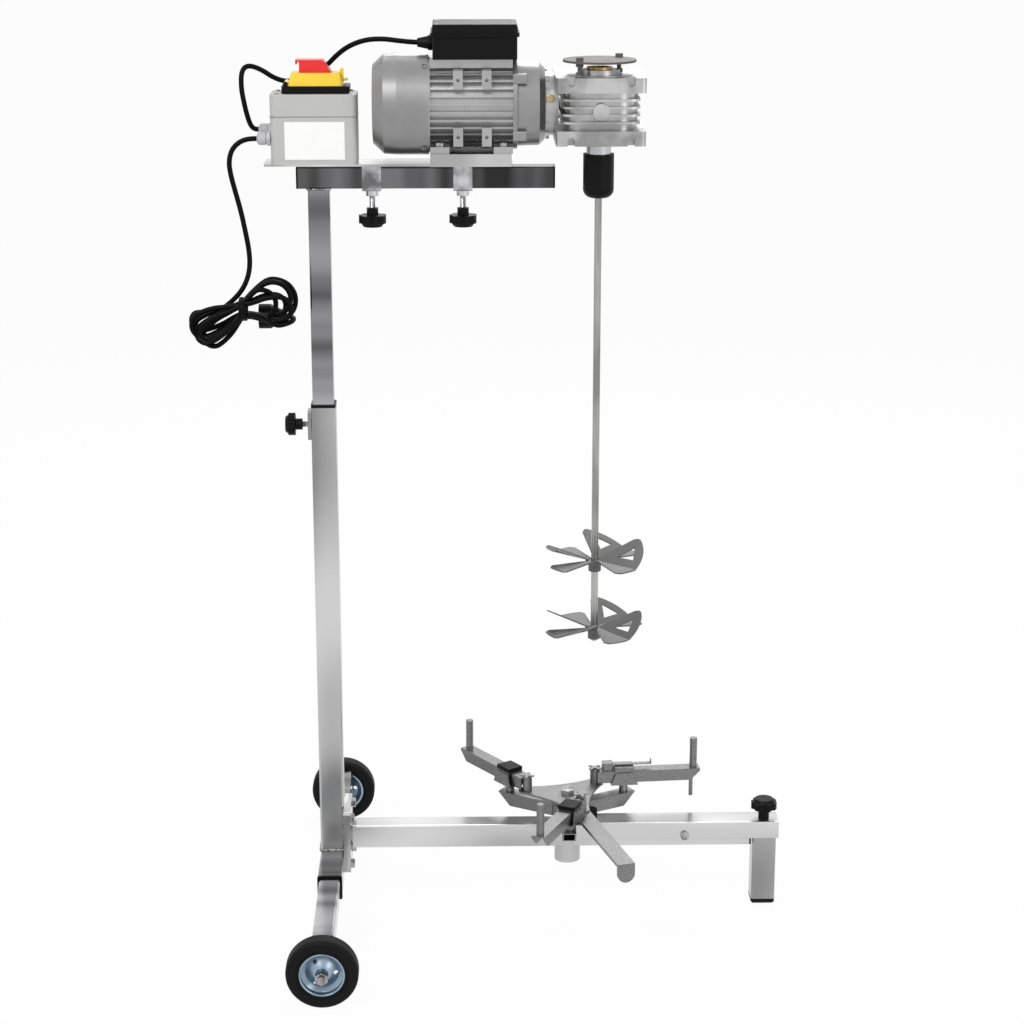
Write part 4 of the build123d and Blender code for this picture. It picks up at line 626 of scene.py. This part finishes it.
class STIRRER_OT_box_seam(bpy.types.Operator):
    """Mark the seam between the control box and its lid"""

    bl_idname = "stirrer.box_seam"
    bl_label = "Box seam"

    def execute(self, context):
        bm = bmesh.new()
        for left, front, right, back in SEAM_SIDES:
            add_block(bm, (left, front, SEAM_LOW), (right, back, SEAM_HIGH), 0.1)
        seam = piece_from(bm, "seam_line", "seam", "carriage", smooth=False)
        return {"FINISHED"}


# The two guides that wear a black cap: body, place and heading, with the cap's size in metres
GUIDE_CAPS = (("left_guide", 264.0, 50.5, 124.8), ("front_guide", 346.3, -98.0, 244.8))
CAP_SIZE = (0.0298, 0.0262, 0.0066, 1)
CAP_MIDDLE = 195.45
CAP_ASIDE = 1.05

# The bright threads: body, foot, direction and length, and the two radii and half pitch of the thread
KNOB_STUDS = (
    ("left_collar_knob", (73, 0, 1045.2), (0, 0, 1), 16.4),
    ("right_collar_knob", (198, 0, 1045.2), (0, 0, 1), 16.4),
    ("mast_knob", (-30.3, 0, 738), (1, 0, 0), 7.6),
)
THREAD_ROOT = 4.02
THREAD_CREST = 4.25
HALF_PITCH = 0.5


class STIRRER_OT_caps_and_studs(bpy.types.Operator):
    """Put the black caps on two guides and the bright threads on the lock knobs"""

    bl_idname = "stirrer.caps_and_studs"
    bl_label = "Caps and studs"

    def execute(self, context):
        for body, x, y, heading in GUIDE_CAPS:
            bm = bmesh.new()
            turn = Matrix.Rotation(math.radians(heading), 4, "Z")
            aside = Matrix.Translation(Vector((0, CAP_ASIDE, 0)) * MM)
            add_soft_cube(bm, Matrix.Translation(at(x, y, CAP_MIDDLE)) @ turn @ aside @ Matrix.Diagonal(CAP_SIZE), 1.2)
            cap = piece_from(bm, body + "_cap", "black", body)
        for body, foot, way, length in KNOB_STUDS:
            bm = bmesh.new()
            thread = [(THREAD_CREST if i % 2 else THREAD_ROOT, i * HALF_PITCH) for i in range(int(length / HALF_PITCH))]
            add_turned(bm, foot, way, thread, 24)
            stud = piece_from(bm, body + "_thread", "bright", body, smooth=False)
        return {"FINISHED"}


# The motor's axis height and its cowl's radius
MOTOR_AXIS = 1187.1
COWL_RADIUS = 68.5


class STIRRER_OT_screws(bpy.types.Operator):
    """Add the screws and bolts of the motor, gearbox, boxes and bracket"""

    bl_idname = "stirrer.screws"
    bl_label = "Screws and bolts"

    def execute(self, context):
        bm = bmesh.new()
        for z in (-54, 54):
            reach = math.sqrt(COWL_RADIUS ** 2 - z ** 2)
            for side in (-1, 1):
                add_cap_screw(bm, (146, side * (reach - 0.6), MOTOR_AXIS + z), (0, side * reach, z), 7, 3)
        for x in (167, 253):
            for y in (-48, 48):
                add_hexagon(bm, (x, y, 1135.1), (0, 0, 1), 10, 5)
        for z in (1149.1, 1225.1):
            for y in (-46, 46):
                add_hexagon(bm, (310, y, z), (1, 0, 0), 8, 4.5)
        screws = piece_from(bm, "motor_screws", "screw", "carriage", smooth=False)
        bm = bmesh.new()
        for x in (-54, 46):
            for y in (-25, 19):
                add_cap_screw(bm, (x, y, 1203.1), (0, 0, 1), 6, 1.6)
        for x in (163, 267):
            for y in (-38, 38):
                add_cap_screw(bm, (x, y, 1295.5), (0, 0, 1), 6, 1.8)
        for x in (-41, 39):
            add_cap_screw(bm, (x, -20, 1207), (0, 0, 1), 4, 1)
        small = piece_from(bm, "cover_screws", "screw", "carriage", smooth=False)
        bm = bmesh.new()
        add_hexagon(bm, (316, -41.5, 1199), (0, -1, 0), 10, 5)
        brass = piece_from(bm, "neck_plug", "brass", "carriage", smooth=False)
        return {"FINISHED"}


class STIRRER_OT_welds(bpy.types.Operator):
    """Run the weld beads of the stand and the arm"""

    bl_idname = "stirrer.welds"
    bl_label = "Welds"

    def execute(self, context):
        half = 18
        weld_bead("mast_weld", along_loop([(-half, -half, 93), (half, -half, 93), (half, half, 93), (-half, half, 93)]),
                  1.8, "frame")
        weld_bead("beam_weld", along_loop([(28, -half, 95), (28, half, 95), (28, half, 131), (28, -half, 131)]),
                  1.8, "frame")
        weld_bead("arm_weld", along_loop([(-15.5, -15.5, 1072.6), (15.5, -15.5, 1072.6), (15.5, 15.5, 1072.6),
                                          (-15.5, 15.5, 1072.6)]), 1.5, "upper")
        weld_bead("flange_weld", along_loop([(17.2, -18, 96), (17.2, -18, 160)]), 1.6, "frame", closed=False)
        return {"FINISHED"}


# The lamps: name, place and size in metres, and power in watts
LAMPS = (
    ("key", (-1.6, -2.2, 3.2), 1.8, 60),
    ("fill", (2.2, -2.4, 1.8), 1.6, 26),
    ("back", (0.4, 2.4, 2.8), 1.6, 40),
)
LAMP_AIM = Vector((0, 0, 0.65))
FLOOR_SIZE = 60
FLOOR_GLOW = 0.95
WORLD_LAMP = 0.50


class STIRRER_OT_stage(bpy.types.Operator):
    """Set the floor, the lights and the camera"""

    bl_idname = "stirrer.stage"
    bl_label = "Stage"

    def execute(self, context):
        bm = bmesh.new()
        bmesh.ops.create_grid(bm, x_segments=1, y_segments=1, size=FLOOR_SIZE)
        mesh = bpy.data.meshes.new("floor")
        bm.to_mesh(mesh)
        bm.free()
        floor = bpy.data.objects.new("floor", mesh)
        context.scene.collection.objects.link(floor)
        floor.data.materials.append(floor_material())
        set_world()
        for name, place, size, power in LAMPS:
            lamp = bpy.data.lights.new(name, "AREA")
            lamp.size = size
            lamp.energy = power
            obj = bpy.data.objects.new(name, lamp)
            obj.location = place
            aim = LAMP_AIM - Vector(place)
            obj.rotation_euler = aim.to_track_quat("-Z", "Y").to_euler()
            context.scene.collection.objects.link(obj)
        place_camera(context)
        context.scene.view_settings.view_transform = "Standard"
        return {"FINISHED"}


def background_seen(nodes, links):
    """One for rays that see the background: camera, glossy and transmission rays."""
    paths = nodes.new("ShaderNodeLightPath")
    either = nodes.new("ShaderNodeMath")
    either.operation = "MAXIMUM"
    links.new(paths.outputs["Is Camera Ray"], either.inputs[0])
    links.new(paths.outputs["Is Glossy Ray"], either.inputs[1])
    seen = nodes.new("ShaderNodeMath")
    seen.operation = "MAXIMUM"
    links.new(either.outputs["Value"], seen.inputs[0])
    links.new(paths.outputs["Is Transmission Ray"], seen.inputs[1])
    return seen.outputs["Value"]


def floor_material():
    """Plain white floor that stays white to the camera and keeps the shadow."""
    mat = bpy.data.materials.new("floor_white")
    mat.use_nodes = True
    nodes, links = mat.node_tree.nodes, mat.node_tree.links
    shader = nodes["Principled BSDF"]
    shader.inputs["Base Color"].default_value = (0.90, 0.90, 0.90, 1)
    shader.inputs["Roughness"].default_value = 1.0
    shader.inputs["Specular IOR Level"].default_value = 0.0
    glow = nodes.new("ShaderNodeEmission")
    glow.inputs["Strength"].default_value = 1.0
    share = nodes.new("ShaderNodeMath")
    share.operation = "MULTIPLY"
    share.inputs[1].default_value = FLOOR_GLOW
    links.new(background_seen(nodes, links), share.inputs[0])
    mix = nodes.new("ShaderNodeMixShader")
    links.new(share.outputs["Value"], mix.inputs["Fac"])
    links.new(shader.outputs["BSDF"], mix.inputs[1])
    links.new(glow.outputs["Emission"], mix.inputs[2])
    links.new(mix.outputs["Shader"], nodes["Material Output"].inputs["Surface"])
    return mat


def set_world():
    """Even surroundings that are white to the camera and to reflections, and dimmer as a lamp."""
    world = bpy.data.worlds.new("studio")
    bpy.context.scene.world = world
    world.use_nodes = True
    nodes, links = world.node_tree.nodes, world.node_tree.links
    background = nodes["Background"]
    background.inputs["Color"].default_value = (1, 1, 1, 1)
    span = nodes.new("ShaderNodeMapRange")
    span.inputs["To Min"].default_value = WORLD_LAMP
    span.inputs["To Max"].default_value = 1.0
    links.new(background_seen(nodes, links), span.inputs["Value"])
    links.new(span.outputs["Result"], background.inputs["Strength"])


# The camera: its place as at() takes it, its focal length in pixels, and its pitch, yaw and roll in degrees
CAMERA_AT = (194.855, -3352.024, 1567.982)
CAMERA_FOCAL = 2436.93
CAMERA_TURN = (15.997, 1.210, -0.001)
PHOTO_WIDTH = 1024
SENSOR = 36


def place_camera(context):
    """Camera at the photograph's place, from its focal length in pixels and its three angles."""
    pitch, yaw, roll = (math.radians(angle) for angle in CAMERA_TURN)
    forward = Vector((math.sin(yaw) * math.cos(pitch), math.cos(yaw) * math.cos(pitch), -math.sin(pitch)))
    right = Vector((math.cos(yaw), -math.sin(yaw), 0))
    down = forward.cross(right)
    side = right * math.cos(roll) + down * math.sin(roll)
    low = down * math.cos(roll) - right * math.sin(roll)
    camera = bpy.data.cameras.new("camera")
    camera.sensor_width = SENSOR
    camera.sensor_fit = "HORIZONTAL"
    camera.lens = CAMERA_FOCAL / PHOTO_WIDTH * SENSOR
    camera.clip_end = 100
    obj = bpy.data.objects.new("camera", camera)
    turn = Matrix((side, -low, -forward)).transposed().to_4x4()
    obj.matrix_world = Matrix.Translation(at(*CAMERA_AT)) @ turn
    context.scene.collection.objects.link(obj)
    context.scene.camera = obj


class STIRRER_PT_panel(bpy.types.Panel):
    """Lists the steps that dress the stirrer"""

    bl_idname = "STIRRER_PT_panel"
    bl_label = "Stirrer"
    bl_space_type = "VIEW_3D"
    bl_region_type = "UI"
    bl_category = "Stirrer"

    def draw(self, context):
        layout = self.layout
        look = context.scene.stirrer_look
        for name in ("plated", "motor", "box", "cover", "stop"):
            layout.prop(look, name)
        for step in STEPS:
            layout.operator(step.bl_idname)


STEPS = (STIRRER_OT_finishes, STIRRER_OT_motor_lead, STIRRER_OT_mains_lead, STIRRER_OT_glands, STIRRER_OT_label,
         STIRRER_OT_impellers, STIRRER_OT_box_seam, STIRRER_OT_caps_and_studs, STIRRER_OT_screws, STIRRER_OT_welds,
         STIRRER_OT_stage)
CLASSES = (StirrerLook, *STEPS, STIRRER_PT_panel)


def register():
    for cls in CLASSES:
        bpy.utils.register_class(cls)
    bpy.types.Scene.stirrer_look = bpy.props.PointerProperty(type=StirrerLook)


def unregister():
    del bpy.types.Scene.stirrer_look
    for cls in reversed(CLASSES):
        bpy.utils.unregister_class(cls)


def main():
    register()
    for step in STEPS:
        group, name = step.bl_idname.split(".")
        getattr(getattr(bpy.ops, group), name)()


if __name__ == "__main__":
    main()
